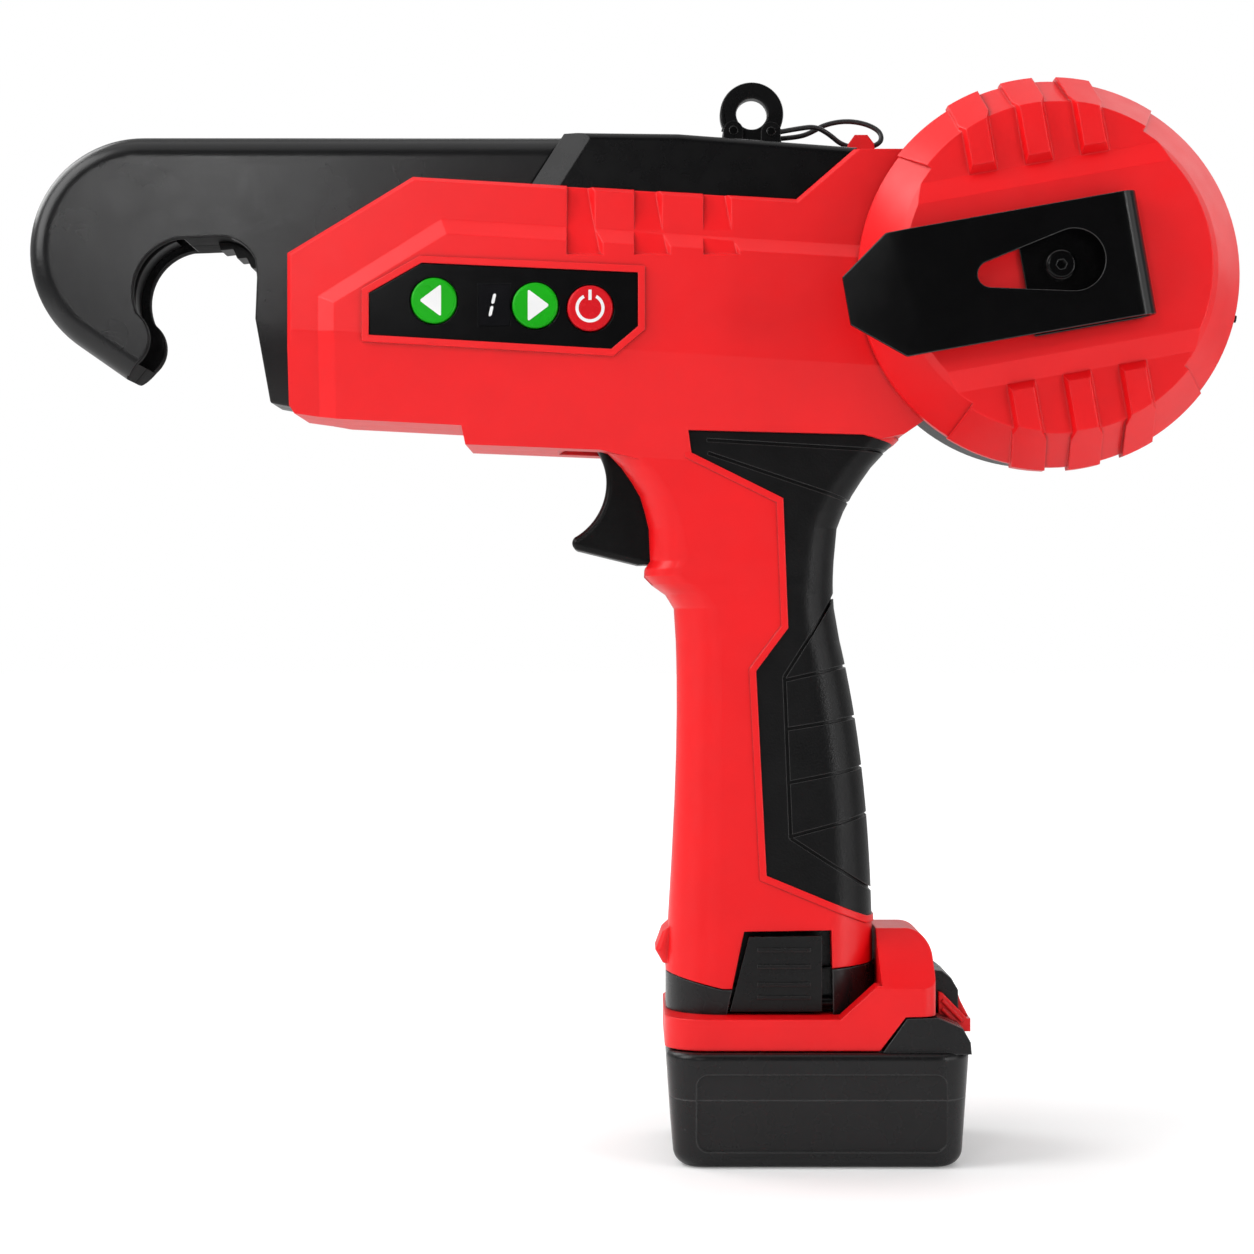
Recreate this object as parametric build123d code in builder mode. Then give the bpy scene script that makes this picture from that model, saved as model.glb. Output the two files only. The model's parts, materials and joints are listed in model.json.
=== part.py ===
"""Electric vine tying tool: a battery-driven hand tool that ties shoots with wire.

Frame: the hook points to -X, the wire reel is at +X, the left side (control panel) faces -Y, +Z is up.
The origin is the middle of the battery foot.  All sizes are in millimetres.
A depth is a distance from the middle plane towards the left side, so the left face of a plate at
depth 20 lies at y = -20.  Outlines are (x, z) points in the middle plane.
"""

import math
import os

from build123d import *

# Shell thicknesses and half widths
WALL = 2.5
HOOK_HALF = 16.5
TOP_COVER_HALF = 21.0
HEAD_BORDER_HALF = 24.0
HEAD_FACE_HALF = 27.0
TRIGGER_HALF = 8.8
FIT = 0.3
RUNNING_FIT = 0.05
OVERCUT = 1.0
OUTSIDE = 40.0

# Head of the housing
HEAD_OUTLINE = [
    (-154.0, 221.0), (-154.0, 265.0), (-117.4, 287.2), (-5.7, 280.7), (11.1, 295.2), (40.0, 295.2),
    (40.0, 222.0), (26.0, 212.4), (-30.0, 200.0), (-62.8, 207.8), (-102.3, 209.4), (-103.4, 214.9),
    (-139.7, 216.8), (-152.5, 218.6),
]
HEAD_TOP_SLOPE = (HEAD_OUTLINE[3][1] - HEAD_OUTLINE[2][1]) / (HEAD_OUTLINE[3][0] - HEAD_OUTLINE[2][0])
HEAD_REAR_SLOPE = (HEAD_OUTLINE[4][1] - HEAD_OUTLINE[3][1]) / (HEAD_OUTLINE[4][0] - HEAD_OUTLINE[3][0])
HEAD_RIM_CHAMFER = 1.2
HEAD_RIM_LEVEL = 230.0
FACE_BASE_OUTLINE = [
    (-145.0, 217.3), (-145.0, 252.3), (-109.1, 274.7), (40.0, 265.4), (40.0, 225.0), (-66.0, 209.0),
]
FACE_TOP_OUTLINE = [
    (-140.0, 217.3), (-140.0, 250.0), (-107.2, 270.0), (40.0, 261.5), (40.0, 225.0), (-66.0, 209.0),
]
FACE_CREASE_START = (-154.0, 242.7)
FACE_CREASE_END = (20.0, 231.7)
FACE_FRONT_X = (-145.0, -140.0)
FACET_TILT = 12.5
FACET_FALL = 60.0
FACET_REACH = 260.0
HEAD_CAVITY_OUTLINE = [
    (-151.0, 224.0), (-151.0, 263.2), (-116.6, 284.0), (-4.5, 277.6), (12.3, 292.0), (16.0, 291.0),
    (16.0, 215.0), (-30.0, 206.0), (-62.0, 211.0), (-99.4, 212.4), (-100.4, 217.6), (-139.5, 220.0),
]
HEAD_CAVITY_DEPTH = 16.0
FACE_CAVITY_OUTLINE = [
    (-136.0, 236.0), (-136.0, 248.0), (-106.0, 266.0), (10.0, 259.0), (10.0, 228.0), (-60.0, 230.0),
]
FACE_CAVITY_DEPTH = 23.6
GROOVE_CENTRES = [-67.6, -48.0, -27.9]
GROOVE_WIDTH = 9.8
GROOVE_DEPTHS = (19.0, 29.0)
GROOVE_WALL_X = (-5.4, 2.3)
GROOVE_SPAN_X = (-90.0, 0.0)
GROOVE_SPAN_Z = (255.0, 300.0)
GROOVE_PROFILE = [(-19.6, 291.0), (-22.8, 276.0), (-25.8, 264.5), (-31.0, 262.0), (-31.0, 291.0)]

# Grip: height, front x, rear x, half width, corner radius of each cross-section
HANDLE_SECTIONS = [
    (48.0, -43.9, 17.9, 22.9, 16.0),
    (82.0, -41.8, 17.3, 20.6, 14.0),
    (118.0, -40.2, 14.3, 19.5, 13.0),
    (152.0, -40.3, 8.2, 19.3, 13.0),
]
NECK_SECTIONS = [
    (152.0, -40.3, 8.2, 19.3, 13.0),
    (161.5, -40.9, 6.5, 19.3, 12.5),
    (165.6, -43.4, 6.2, 19.3, 12.0),
    (168.6, -47.6, 6.1, 19.4, 11.5),
    (171.0, -49.9, 6.1, 19.4, 11.0),
    (173.2, -49.8, 6.2, 19.5, 11.0),
    (175.4, -48.2, 6.3, 19.6, 11.0),
    (185.0, -48.6, 7.1, 19.8, 10.0),
    (190.0, -49.8, 9.0, 19.9, 9.8),
    (194.6, -51.2, 11.4, 20.0, 9.5),
    (199.0, -53.8, 14.2, 20.1, 9.2),
    (203.0, -56.6, 17.0, 20.2, 9.0),
    (208.0, -61.4, 21.6, 20.3, 9.0),
    (213.0, -67.0, 26.6, 20.4, 9.0),
    (217.0, -71.6, 30.6, 20.5, 9.0),
]
GRIP_CORE_INSET = 2.2
FRONT_NUB_OUTLINE = [(-38.0, 56.0), (-44.4, 56.4), (-46.6, 60.2), (-44.6, 65.6), (-38.0, 71.0)]
FRONT_NUB_HALF = 10.0
FRONT_NUB_ROUNDING = 2.0
SKIRT_EDGE = [
    (-60.0, 56.0), (-44.5, 54.6), (-27.0, 50.4), (-24.0, 50.4), (4.0, 56.3), (18.2, 57.4), (40.0, 59.0),
]
SKIRT_CLEAR_Z = 30.0
GRIP_CAVITY_OUTLINE = [
    (-36.0, 40.0), (-36.6, 160.0), (-40.5, 168.0), (-43.5, 176.0), (-45.0, 192.0), (-46.0, 210.0),
    (8.0, 214.0), (2.0, 196.0), (-1.0, 176.0), (-1.0, 160.0), (6.0, 128.0), (11.0, 92.0), (12.0, 40.0),
]
GRIP_CAVITY_DEPTH = 14.6
TRIGGER_POCKET_OUTLINE = [(-80.0, 168.5), (-80.0, 206.0), (-64.0, 214.5), (-36.0, 214.5), (-36.0, 168.5)]
TRIGGER_POCKET_DEPTH = 9.3

# Rubber backstrap
BACKSTRAP_OUTLINE = [
    (-37.1, 213.5), (-36.2, 207.0), (-9.3, 193.7), (-7.8, 155.7), (-17.2, 143.1), (-14.2, 83.3), (15.7, 71.0),
    (40.0, 71.0), (40.0, 205.1), (14.0, 212.2),
]
SLEEVE_GROOVES = [
    ((-9.1, 140.3), (20.0, 146.8)), ((-8.4, 126.0), (22.0, 131.0)),
    ((-8.0, 110.3), (24.0, 116.6)), ((-7.4, 94.6), (24.0, 103.0)),
    ((9.0, 169.6), (-8.9, 141.4)), ((-8.9, 141.4), (-7.1, 94.2)), ((-7.1, 94.2), (22.0, 75.4)),
    ((-31.6, 210.7), (24.0, 207.4)), ((-31.3, 206.9), (16.0, 191.0)),
]
SLEEVE_GROOVE_WIDTH = 1.0
SLEEVE_GROOVE_DEPTH = 0.7
SLEEVE_LIP_WIDTH = 2.0
SLEEVE_LIP_HEIGHT = 0.5

# Reel drum
DRUM_X = 66.7
DRUM_Z = 257.6
DRUM_R = 54.0
DRUM_OUTSIDE = [
    (0.0, -27.0), (31.0, -27.0), (32.0, -26.2), (39.0, -26.2), (40.0, -27.0), (45.0, -27.0), (49.0, -25.2),
    (50.6, -21.0), (DRUM_R, 2.0), (DRUM_R, 26.6), (0.0, 26.6),
]
DRUM_INSIDE = [
    (0.0, -24.5), (44.0, -24.5), (46.4, -23.6), (48.0, -20.0), (51.5, 2.0), (51.5, 30.0), (0.0, 30.0),
]
DRUM_SEAT = [(0.0, -40.0), (50.8, -40.0), (50.8, -21.0), (54.15, 2.0), (0.0, 2.0)]
DRUM_LUG = ((3.0, 16.0), (-16.0, 16.0), (260.5, 271.0))
STUD_ANGLES = [4.9, -9.5]
STUD_R = 1.1
STUD_REACH = 60.4
STUD_DEPTH = 6.0

# Reel inside the drum
SPINDLE_R = 8.0
SPINDLE_PROFILE = [
    (0.0, -24.5), (11.0, -24.5), (11.0, -21.3), (SPINDLE_R, -21.3), (SPINDLE_R, 22.0), (4.0, 22.0),
    (4.0, 8.0), (0.0, 8.0),
]
SPOOL_HUB_R = 16.0
SPOOL_FLANGE_R = 46.0
SPOOL_FAR = -21.0
SPOOL_NEAR = 22.0
SPOOL_FLANGE = 2.0
SPOOL_SPOKES = 6
SPOOL_SPOKE_RING = 31.0
SPOOL_CUTOUT_R = 6.5
COIL_R = 36.0

# Lid of the drum, turned with the clip by the clip angle
CLIP_ANGLE = 10.0
LID_RIM_R = 55.0
LID_NEAR_DEPTH = 49.5
LID_PROFILE = [
    (0.0, 44.5), (43.0, 44.5), (52.6, 30.4), (52.6, 27.4), (LID_RIM_R, 27.4), (LID_RIM_R, 31.0), (45.3, 47.0),
    (43.4, LID_NEAR_DEPTH), (0.0, LID_NEAR_DEPTH),
]
LID_SPIGOT = [(50.2, 21.0), (51.1, 21.0), (51.1, 34.0), (50.2, 34.0)]
LID_BOSS = [(5.0, 36.0), (10.0, 36.0), (10.0, 44.6), (5.0, 44.6)]
LID_STEP = [(24.0, LID_NEAR_DEPTH), (30.0, 47.0), (60.0, 47.0), (60.0, 52.0), (24.0, 52.0)]
LID_SECTOR = [(53.0, 29.0), (55.6, 29.0), (55.6, 31.4), (46.9, 47.0), (43.8, 47.0), (43.8, 44.6)]
LID_SECTOR_ANGLE = 42.0
LID_RIB = [
    (22.0, 45.0), (22.0, 49.4), (46.6, 49.4), (56.6, 33.0), (56.6, 27.4), (53.5, 27.4), (53.5, 30.5),
    (43.0, 45.0),
]
LID_RIB_PLACES = [-16.0, 0.0, 16.0]
LID_RIB_FOOT = (4.6, 45.6)
LID_RIB_CREST = (3.0, 49.6)
LID_RIB_DEPTHS = (27.0, 52.0)
LID_RIB_GAP = [(30.0, 44.0), (30.0, 47.0), (34.8, 52.0)]
LID_REACH = 62.0
SEAL_PROFILE = [(51.7, 26.75), (52.2, 26.75), (53.6, 27.0), (53.6, 27.4), (51.7, 27.4)]
BUSH_PROFILE = [
    (0.0, 13.0), (3.95, 13.0), (3.95, 24.0), (9.0, 24.0), (9.0, 35.7), (4.95, 35.7), (4.95, 43.5),
    (0.0, 43.5),
]

# Belt clip: (distance along the clip, depth) through the folded strip
CLIP_HALF = 17.5
CLIP_DROP = 1.0
CLIP_SHEET = 1.5
CLIP_FOLD_X = 18.1
CLIP_INNER_END = -10.5
CLIP_BEND_X = -42.2
CLIP_TIP_X = -61.5
CLIP_OUTER_DEPTH = 60.0
CLIP_TIP_DROP = 3.0
CLIP_TIP_HALF = 6.0
CLIP_CORNER_X = -47.7
CLIP_EYE_X = 2.6
CLIP_EYE_R = 8.6
CLIP_EYE_TAIL_X = -21.0
CLIP_EYE_TAIL_R = 3.6
CLIP_SCREW_R = 2.0
CLIP_SCREW_HEAD_R = 4.4
CLIP_SCREW_HEAD_HEIGHT = 2.4
CLIP_SCREW_SOCKET_R = 1.5
CLIP_SCREW_SOCKET_DEPTH = 1.4
CLIP_SCREW_ROUNDING = 1.2
CLIP_SCREW_FOOT = 45.5
CLIP_SCREW_SEAT = LID_NEAR_DEPTH + CLIP_SHEET
CLIP_SCREW_TOP = CLIP_SCREW_SEAT + CLIP_SCREW_HEAD_HEIGHT

# Housing screws: six posts across the housing
SCREW_PLACES = [
    (-145.5, 226.0), (-92.0, 218.0), (6.0, 226.0), (-112.0, 276.0), (-31.0, 150.0), (-31.0, 102.0),
]
SCREW_POST_R = 4.6
SCREW_WELL_R = 3.1
SCREW_R = 1.5
SCREW_HEAD_R = 2.8
SCREW_HEAD_HEIGHT = 2.2
SCREW_SOCKET_R = 1.3
SCREW_SOCKET_DEPTH = 1.2
SCREW_LENGTH = 22.0
SCREW_HEAD_DEPTH = -13.0

# Hook: outer arc, straight run to the tip, and the throat
HOOK_CENTRE = (-198.0, 267.0)
HOOK_R = 33.8
HOOK_TANGENT_ANGLE = 235.8
HOOK_TIP = (-202.6, 229.0)
HOOK_TOP_REAR = (-73.5, 300.8)
HOOK_FOOT_REAR = (-83.5, HEAD_OUTLINE[2][1] + HEAD_TOP_SLOPE * (-83.5 - HEAD_OUTLINE[2][0]))
THROAT_LIP = [(-198.6, 233.9), (-195.5, 240.3), (-199.1, 248.2)]
THROAT_LEFT_MID = (-199.3, 259.9)
THROAT_TOP_LEFT = (-187.3, 270.2)
THROAT_CORNER = [(-173.6, 270.7), (-167.7, 268.2), (-164.3, 263.8)]
NOSE_FRONT = [(-163.8, 258.9), (-164.3, 246.7), (-160.4, 222.2), (-154.0, 221.0)]
NOSE_FACET = [(-16.5, 246.7), (-12.0, 221.0), (-12.0, 215.0), (-30.0, 215.0), (-30.0, 246.7)]
HOOK_RIM_FILLET = 7.0
HOOK_RIM_BAND = 1.0
HOOK_WALL = 3.0
HOOK_SIDE_WALL = 3.5
HOOK_CAVITY_FLOOR = [
    (-203.5, 233.6), (-186.0, 233.6), (-186.0, 273.4), (-158.5, 273.4), (-119.5, 290.2), (-70.0, 287.4),
    (-70.0, 298.4),
]

# Wire channel in the hook: setback from the throat, span as start angle and turn
GUIDE_SETBACK = 2.6
GUIDE_BACK = 7.6
GUIDE_SPAN = (110.0, 100.0)
GUIDE_HALF = HOOK_HALF - HOOK_SIDE_WALL
GUIDE_GROOVE_HALF = 3.0
GUIDE_GROOVE_DEPTH = 1.6

# Twister axis, through the nose of the hook shell
TWIST_Z = 243.0
TWIST_HOLE_R = 7.0
TWIST_HOLE_X = (-170.0, -149.0)
TWIST_SHAFT_R = 4.0
TWIST_MOTOR_R = 14.0
TWIST_MOTOR_X = (-74.0, -34.0)
TWIST_GEARBOX_R = 15.6
TWIST_GEARBOX_X = (-104.0, -74.0)
TWIST_SHAFT_X = (-160.0, -104.0)
TWIST_BUSH_X = (-157.0, -150.0)
TWIST_HEAD_X = (-162.0, -157.4)
TWIST_HEAD_R = 6.5
TWIST_SLOT_HALF = 1.2
TWIST_SLOT_DEPTH = 3.0
TWIST_SLOT_REACH = 10.0
TWIST_TAIL = 3.0
MOTOR_CHAMFER = 1.0
CHASSIS_X = (-106.0, -32.0)
CHASSIS_Z = (223.2, 234.0)

# Wire feed: roller and gear on one axle, motor with its pinion, sprung pinch roller
FEED_AXIS = (-16.0, 276.0)
FEED_ROLLER_R = 8.0
FEED_ROLLER_HALF = 3.0
FEED_AXLE_R = 2.0
FEED_SHOULDER_R = 4.0
GEAR_MODULE = 0.8
GEAR_TEETH = 20
PINION_TEETH = 12
GEAR_DEPTHS = (4.0, 6.8)
GEAR_ADDENDUM = 0.5
GEAR_DEDENDUM = 0.75
TOOTH_ROOT = 1.3
TOOTH_TIP = 0.6
FEED_MOTOR_AXIS = (FEED_AXIS[0], FEED_AXIS[1] - GEAR_MODULE * (GEAR_TEETH + PINION_TEETH) / 2)
FEED_MOTOR_R = 9.5
FEED_MOTOR_DEPTHS = (-15.8, -3.4)
FEED_MOTOR_SHAFT_R = 1.5
FEED_PLATE_OUTLINE = [
    (-30.0, 246.0), (-2.0, 246.0), (-2.0, 270.0), (-9.6, 276.0), (-9.6, 281.6), (-22.0, 281.6),
    (-25.0, 276.0), (-30.0, 272.0),
]
FEED_PLATE_DEPTHS = (8.2, 10.2)
FEED_BORE_DEPTH = 20.0
FEED_BRIDGE_X = (-30.0, -2.0)
FEED_BRIDGE_Z = (246.0, 249.0)
PINCH_PIVOT = (-33.0, 291.0)
PINCH_PIN_R = 1.2
PINCH_AXIS = (-16.0, 289.2)
PINCH_ROLLER_R = 4.4
PINCH_AXLE_R = 1.2
PINCH_ARM_DEPTHS = (3.6, 5.2)
PINCH_ARM_OUTLINE = [
    (-36.0, 288.6), (-36.0, 293.6), (-14.0, 292.0), (-13.0, 289.0), (-14.4, 287.0), (-18.0, 286.6),
]
PINCH_BRIDGE_X = (-31.0, -23.0)
PINCH_BRIDGE_Z = (289.4, 292.4)
PINCH_SPRING = [
    (-49.0, 297.6), (-42.0, 297.5), (-26.6, 293.7), (-26.8, 293.1), (-42.0, 296.8), (-49.0, 297.0),
]
INLET_BORE_R = 1.2
INLET_X = (-3.0, 22.4)
CONDUIT_R = 1.6
CONDUIT_ROUTE = [
    (-27.0, 0.0, 284.9), (-60.0, 0.0, 289.2), (-128.0, 0.0, 293.0), (-166.0, 0.0, 290.5),
    (-185.0, 0.0, 279.6),
]
CONDUIT_BENDS = [60.0, 90.0, 30.0]
NOZZLE_OUTLINE = [
    (-177.0, 272.0), (-176.0, 268.0), (-172.2, 268.5), (-171.0, 265.6), (-168.2, 265.9), (-166.8, 262.9),
    (-162.5, 262.3), (-162.5, 272.0),
]
NOZZLE_HALF = 6.5
CUTTER_OUTLINE = [(-179.0, 273.4), (-170.0, 273.4), (-170.0, 281.0), (-174.0, 281.0)]
CUTTER_HALF = 1.2

# Main board in the grip
MAIN_BOARD_X = (-24.0, -5.0)
MAIN_BOARD_Z = (98.0, 170.0)
MAIN_BOARD_HALF = 0.8
MAIN_BOARD_POSTS = [(-14.5, 104.0), (-14.5, 164.0)]
MAIN_BOARD_POST_R = 2.5
HEAT_SINK_X = (-22.0, -8.0)
HEAT_SINK_Z = (120.0, 148.0)
HEAT_SINK_DEPTH = 8.0

# Rear top cover
TOP_COVER_OUTLINE = [
    HOOK_FOOT_REAR, HOOK_TOP_REAR, (-40.0, 300.4),
    (12.5, HEAD_OUTLINE[3][1] + HEAD_REAR_SLOPE * (12.5 - HEAD_OUTLINE[3][0])), HEAD_OUTLINE[3],
]
TOP_COVER_CAVITY = [(-90.0, 282.0), (-90.0, 298.0), (-40.0, 297.6), (4.0, 294.0), (-8.0, 280.0)]
TOP_COVER_CAVITY_HALF = HOOK_HALF - WALL
TOP_COVER_BEVEL_X = (-1.0, 9.5)
TOP_COVER_BEVEL_REACH = 30.0
TOP_COVER_NOTCH_X = (9.0, 14.0)
TOP_COVER_NOTCH_Z = (290.0, 300.0)
TOP_COVER_FILLET = 2.5
TOP_EDGE_LEVEL = 297.0

# Opening in the top of the housing for the feed roller, and the way for the wire through the slanted end
FEED_OPENING_X = (-26.0, -6.0)
FEED_OPENING_HALF = 11.0
FEED_OPENING_Z = (276.0, 284.0)
WIRE_Z = 284.4
WIRE_TUBE_R = 2.6
WIRE_WAY_X = (-12.0, 40.0)

# Control panel
PANEL_OUTLINE = [
    (-129.8, 240.6), (-129.8, 252.8), (-114.5, 261.5), (-51.8, 258.7), (-51.8, 243.1), (-59.6, 236.5),
]
BEZEL_MARGIN = 2.0
BEZEL_DEPTH = 28.2
PANEL_BACK = 25.6
PANEL_FRONT = 27.6
PANEL_LEGS = [(-120.0, 243.0), (-120.0, 253.0), (-55.2, 244.5), (-55.2, 254.0)]
PANEL_LEG_R = 1.2
BUTTON_PLACES = {
    "minus_button": (-110.9, 250.5),
    "plus_button": (-81.6, 249.1),
    "power_button": (-65.7, 248.3),
}
BUTTON_R = 6.6
BUTTON_FLANGE_R = 7.6
BUTTON_BACK = 23.0
BUTTON_FLANGE_FRONT = 24.4
BUTTON_FRONT = 28.7
BUTTON_ROUNDING = 0.8
DISPLAY_PLACE = (-93.5, 249.3)
DISPLAY_SIZE = (9.0, 12.0)
BOARD_X = (-122.0, -53.0)
BOARD_Z = (238.5, 255.5)
BOARD_BACK = 18.5
BOARD_FRONT = 20.1
TACT_SWITCH = 3.0
TACT_SWITCH_FRONT = 21.6

# Trigger, its pivot, switch and leaf spring
TRIGGER_PIVOT = (-50.0, 216.0)
TRIGGER_PIN_R = 1.5
TRIGGER_BOSS_R = 4.2
TRIGGER_FRONT = [(-65.6, 211.0), (-61.4, 196.0), (-70.6, 182.6)]
TRIGGER_TOE = [(-70.6, 182.6), (-71.2, 180.2), (-69.2, 178.6)]
TRIGGER_SOLE = [(-52.0, 174.4), (-48.4, 174.6)]
TRIGGER_BACK = [(-45.6, 178.0), (-42.8, 190.0), (-42.8, 204.0), (-45.8, 216.0)]
TRIGGER_FILLET = 1.9
SWITCH_X = (-33.0, -16.0)
SWITCH_Z = (182.0, 198.0)
SWITCH_PLUNGER_X = (-36.0, -33.0)
SWITCH_PLUNGER_Z = (187.0, 192.0)
TRIGGER_SPRING = [
    (-32.4, 198.0), (-33.0, 198.0), (-33.0, 203.0), (-42.2, 207.5), (-42.0, 208.1), (-32.4, 203.4),
]
LEAF_HALF = 3.0

# Hanger eye on the top cover, with its ears and pins
HANGER_EYE = (-17.7, 309.5)
HANGER_EYE_R = 9.5
HANGER_HOLE_R = 4.6
HANGER_HALF = 2.5
HANGER_FOOT = [(-27.0, 299.43), (-26.2, 305.0), (-9.2, 305.0), (-8.4, 298.02)]
HANGER_PINS = [(-23.3, 304.0), (-12.1, 303.7)]
HANGER_PIN_R = 1.4
HANGER_PIN_HALF = 5.7
EAR_DEPTHS = (2.6, 5.2)
EAR_R = 2.9
EAR_FOOT_TOP = 298.0

# Tether: a thin coated cable from the near ear through the lug and back to the far ear, as (x, y, z)
TETHER_D = 1.5
TETHER_HOLE_R = 1.6
TETHER_HOLE_Z = 299.8
TETHER_HOLE_X = (8.0, 22.0)
CORD_RUN_SHARE = 0.45
TETHER_ROUTE = [
    (-7.74, -3.9, 304.0), (-3.4, -3.9, 304.9), (1.4, -3.3, 305.5), (5.4, -1.8, 303.6), (9.4, -0.4, 300.5),
    (14.2, 0.0, 299.7), (18.6, 0.2, 300.0), (21.6, 1.2, 301.9), (21.2, 2.6, 305.2), (16.8, 3.5, 307.7),
    (10.8, 3.9, 308.6), (4.6, 4.2, 307.5), (0.6, 4.1, 305.1), (-3.4, 3.9, 303.6), (-7.74, 3.9, 303.2),
]

# Release tab window in the skirt of the grip
TAB_WINDOW = [(-20.8, 67.0), (4.7, 67.4), (5.2, 40.0), (-26.6, 40.0)]
TAB_WINDOW_DEPTH = 14.0

# Plug-in base: collar under the grip, release tabs and battery dock
COLLAR_X = (-43.4, 18.2)
COLLAR_HALF = 23.2
COLLAR_CORNER = 17.0
COLLAR_Z = (43.0, 60.0)
STEM_X = (-30.0, 6.0)
STEM_HALF = 12.5
STEM_TOP = 92.0
STEM_CHAMFER = 2.0
TAB_NOTCH_DEPTH = 16.0
TAB_OUTLINE = [(-19.4, 65.6), (1.8, 65.9), (1.8, 44.0), (-25.0, 44.0)]
TAB_BACK = 20.6
TAB_FRONT = 23.4
TAB_RIB_LEVELS = [47.6, 51.4, 56.6, 61.4]
TAB_RIB_X = (-17.0, -1.5)
TAB_RIB_HEIGHT = 0.7
TAB_RIB_WIDTH = 1.0
TAB_PIVOT_Z = 46.0
TAB_PIVOT_DEPTH = 18.4
TAB_PIVOT_R = 1.6
TAB_PIVOT_X = (-27.6, 7.0)
TAB_KNUCKLE_X = (-22.0, 1.4)
DOCK_HALF = 33.0
DOCK_OUTLINE = [
    (-44.0, 34.0), (17.8, 34.0), (25.2, 43.7), (34.2, 43.9), (34.2, 67.0), (18.5, 67.0), (18.5, 43.0),
    (-44.0, 43.0),
]
DOCK_RAMP = [(6.0, 42.5), (17.0, 52.5), (19.5, 52.5), (19.5, 42.5)]
DOCK_RAMP_DEPTHS = (24.2, DOCK_HALF)
DOCK_ROOF = [(10.0, 68.0), (33.5, 51.5), (40.0, 51.5), (40.0, 75.0), (10.0, 75.0)]
DOCK_ROOF_REACH = 60.0
DOCK_CORNER = 12.0
DOCK_REAR_CORNER = 4.0
DOCK_REAR_ROUNDING = 7.0
DOCK_UNDERSIDE = 30.0
DOCK_SLOT_X = (-12.0, 30.0)
DOCK_SLOT_HALF = 12.0
DOCK_SLOT_TOP = 40.0
RAIL_DEPTHS = (17.0, 22.0)
RAIL_X = (-40.0, 14.0)
RAIL_FOOT = 25.0
RAIL_TOP = 37.4
RAIL_PLAY = 0.4
RAIL_GROOVE_X = (RAIL_X[0] - RAIL_PLAY, 40.0)
TERMINAL_DEPTHS = [-8.0, 0.0, 8.0]
TERMINAL_HALF = 0.6
DOCK_TERMINAL_X = (-11.0, 2.0)
DOCK_TERMINAL_Z = (36.4, 40.0)

# Battery
BATTERY_X = (-43.7, 44.3)
BATTERY_HALF = 36.0
BATTERY_CORNER = 11.0
BATTERY_TAPER = 4.0
BATTERY_SEAM_Z = 20.0
BATTERY_TOP_Z = 33.6
BATTERY_FOOT_ROUNDING = 5.0
BATTERY_TOP_ROUNDING = 2.0
BATTERY_PANEL_X = (-35.0, 37.0)
BATTERY_PANEL_Z = (5.0, 27.5)
BATTERY_PANEL_CORNER = 3.5
BATTERY_PANEL_RECESS = 0.8
BATTERY_BLOCK = [
    (18.3, 33.0), (25.6, 43.2), (34.6, 43.5), (41.7, 40.4), (43.9, 36.5), (44.2, 33.0),
]
BATTERY_BLOCK_HALF = 33.0
BATTERY_HUMP = [
    (34.6, 40.0), (34.6, 55.0), (37.9, 54.6), (40.6, 52.5), (42.6, 49.0), (42.6, 40.0),
]
BATTERY_HUMP_HALF = 14.0
LATCH_OUTLINE = [(40.0, 37.0), (40.0, 49.4), (42.2, 49.4), (43.6, 45.5), (45.9, 41.0), (45.9, 37.0)]
LATCH_HALF = 11.0
LATCH_BAR_X = (44.8, 45.9)
LATCH_BAR_Z = (37.2, 41.0)
LATCH_CHEEK = [(36.6, 38.4), (36.6, 48.8), (37.8, 48.4), (45.9, 40.0), (45.9, 37.2), (44.0, 37.2)]
LATCH_CHEEK_DEPTHS = (14.4, 16.6)
LATCH_RIB_STARTS = [(37.6, 46.4), (37.6, 43.8)]
LATCH_RIB_RUN = (6.0, -6.2)
LATCH_RIB_HEIGHT = 0.5
LATCH_RIB_WIDTH = 0.9
LATCH_POCKET_X = (36.5, 50.0)
LATCH_POCKET_Z = (36.7, 49.9)
CHEEK_POCKET_X = (34.3, 50.0)
CHEEK_POCKET_DEPTHS = (14.0, 17.5)
BAR_POCKET_X = (42.6, 50.0)
LATCH_SPRING_OUTLINE = [(36.6, 37.2), (37.1, 37.2), (37.1, 42.0), (39.6, 44.2), (39.3, 44.7), (36.6, 42.3)]
CELL_R = 9.0
CELL_COLUMNS = [-30.0, -10.5, 9.0, 28.5]
CELL_Z = 12.4
CELL_HALF = 32.5
BATTERY_TERMINAL_X = (-3.0, 12.0)
BATTERY_TERMINAL_Z = (30.0, 37.0)
BATTERY_TERMINAL_GAP = 0.3

# Tether lug on top of the housing
TETHER_LUG_OUTLINE = [
    (10.4, 293.0), (11.0, 300.2), (13.0, 303.0), (16.8, 303.0), (18.8, 300.4), (19.7, 293.0),
]
TETHER_LUG_HALF = 3.6


def side_plane(depth):
    """Plane parallel to the middle plane, facing left, with local axes X and Z."""
    return Plane.XZ.offset(depth)


def prism(outline, start, end, mode=Mode.ADD, margin=0.0):
    """Prism on an outline of straight edges, grown by the margin, between two depths."""
    with BuildSketch(side_plane(start)) as face:
        with BuildLine():
            Polyline(*outline, close=True)
        make_face()
        if margin:
            offset(amount=margin, kind=Kind.INTERSECTION)
    extrude(face.sketch, amount=end - start, mode=mode)


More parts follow.
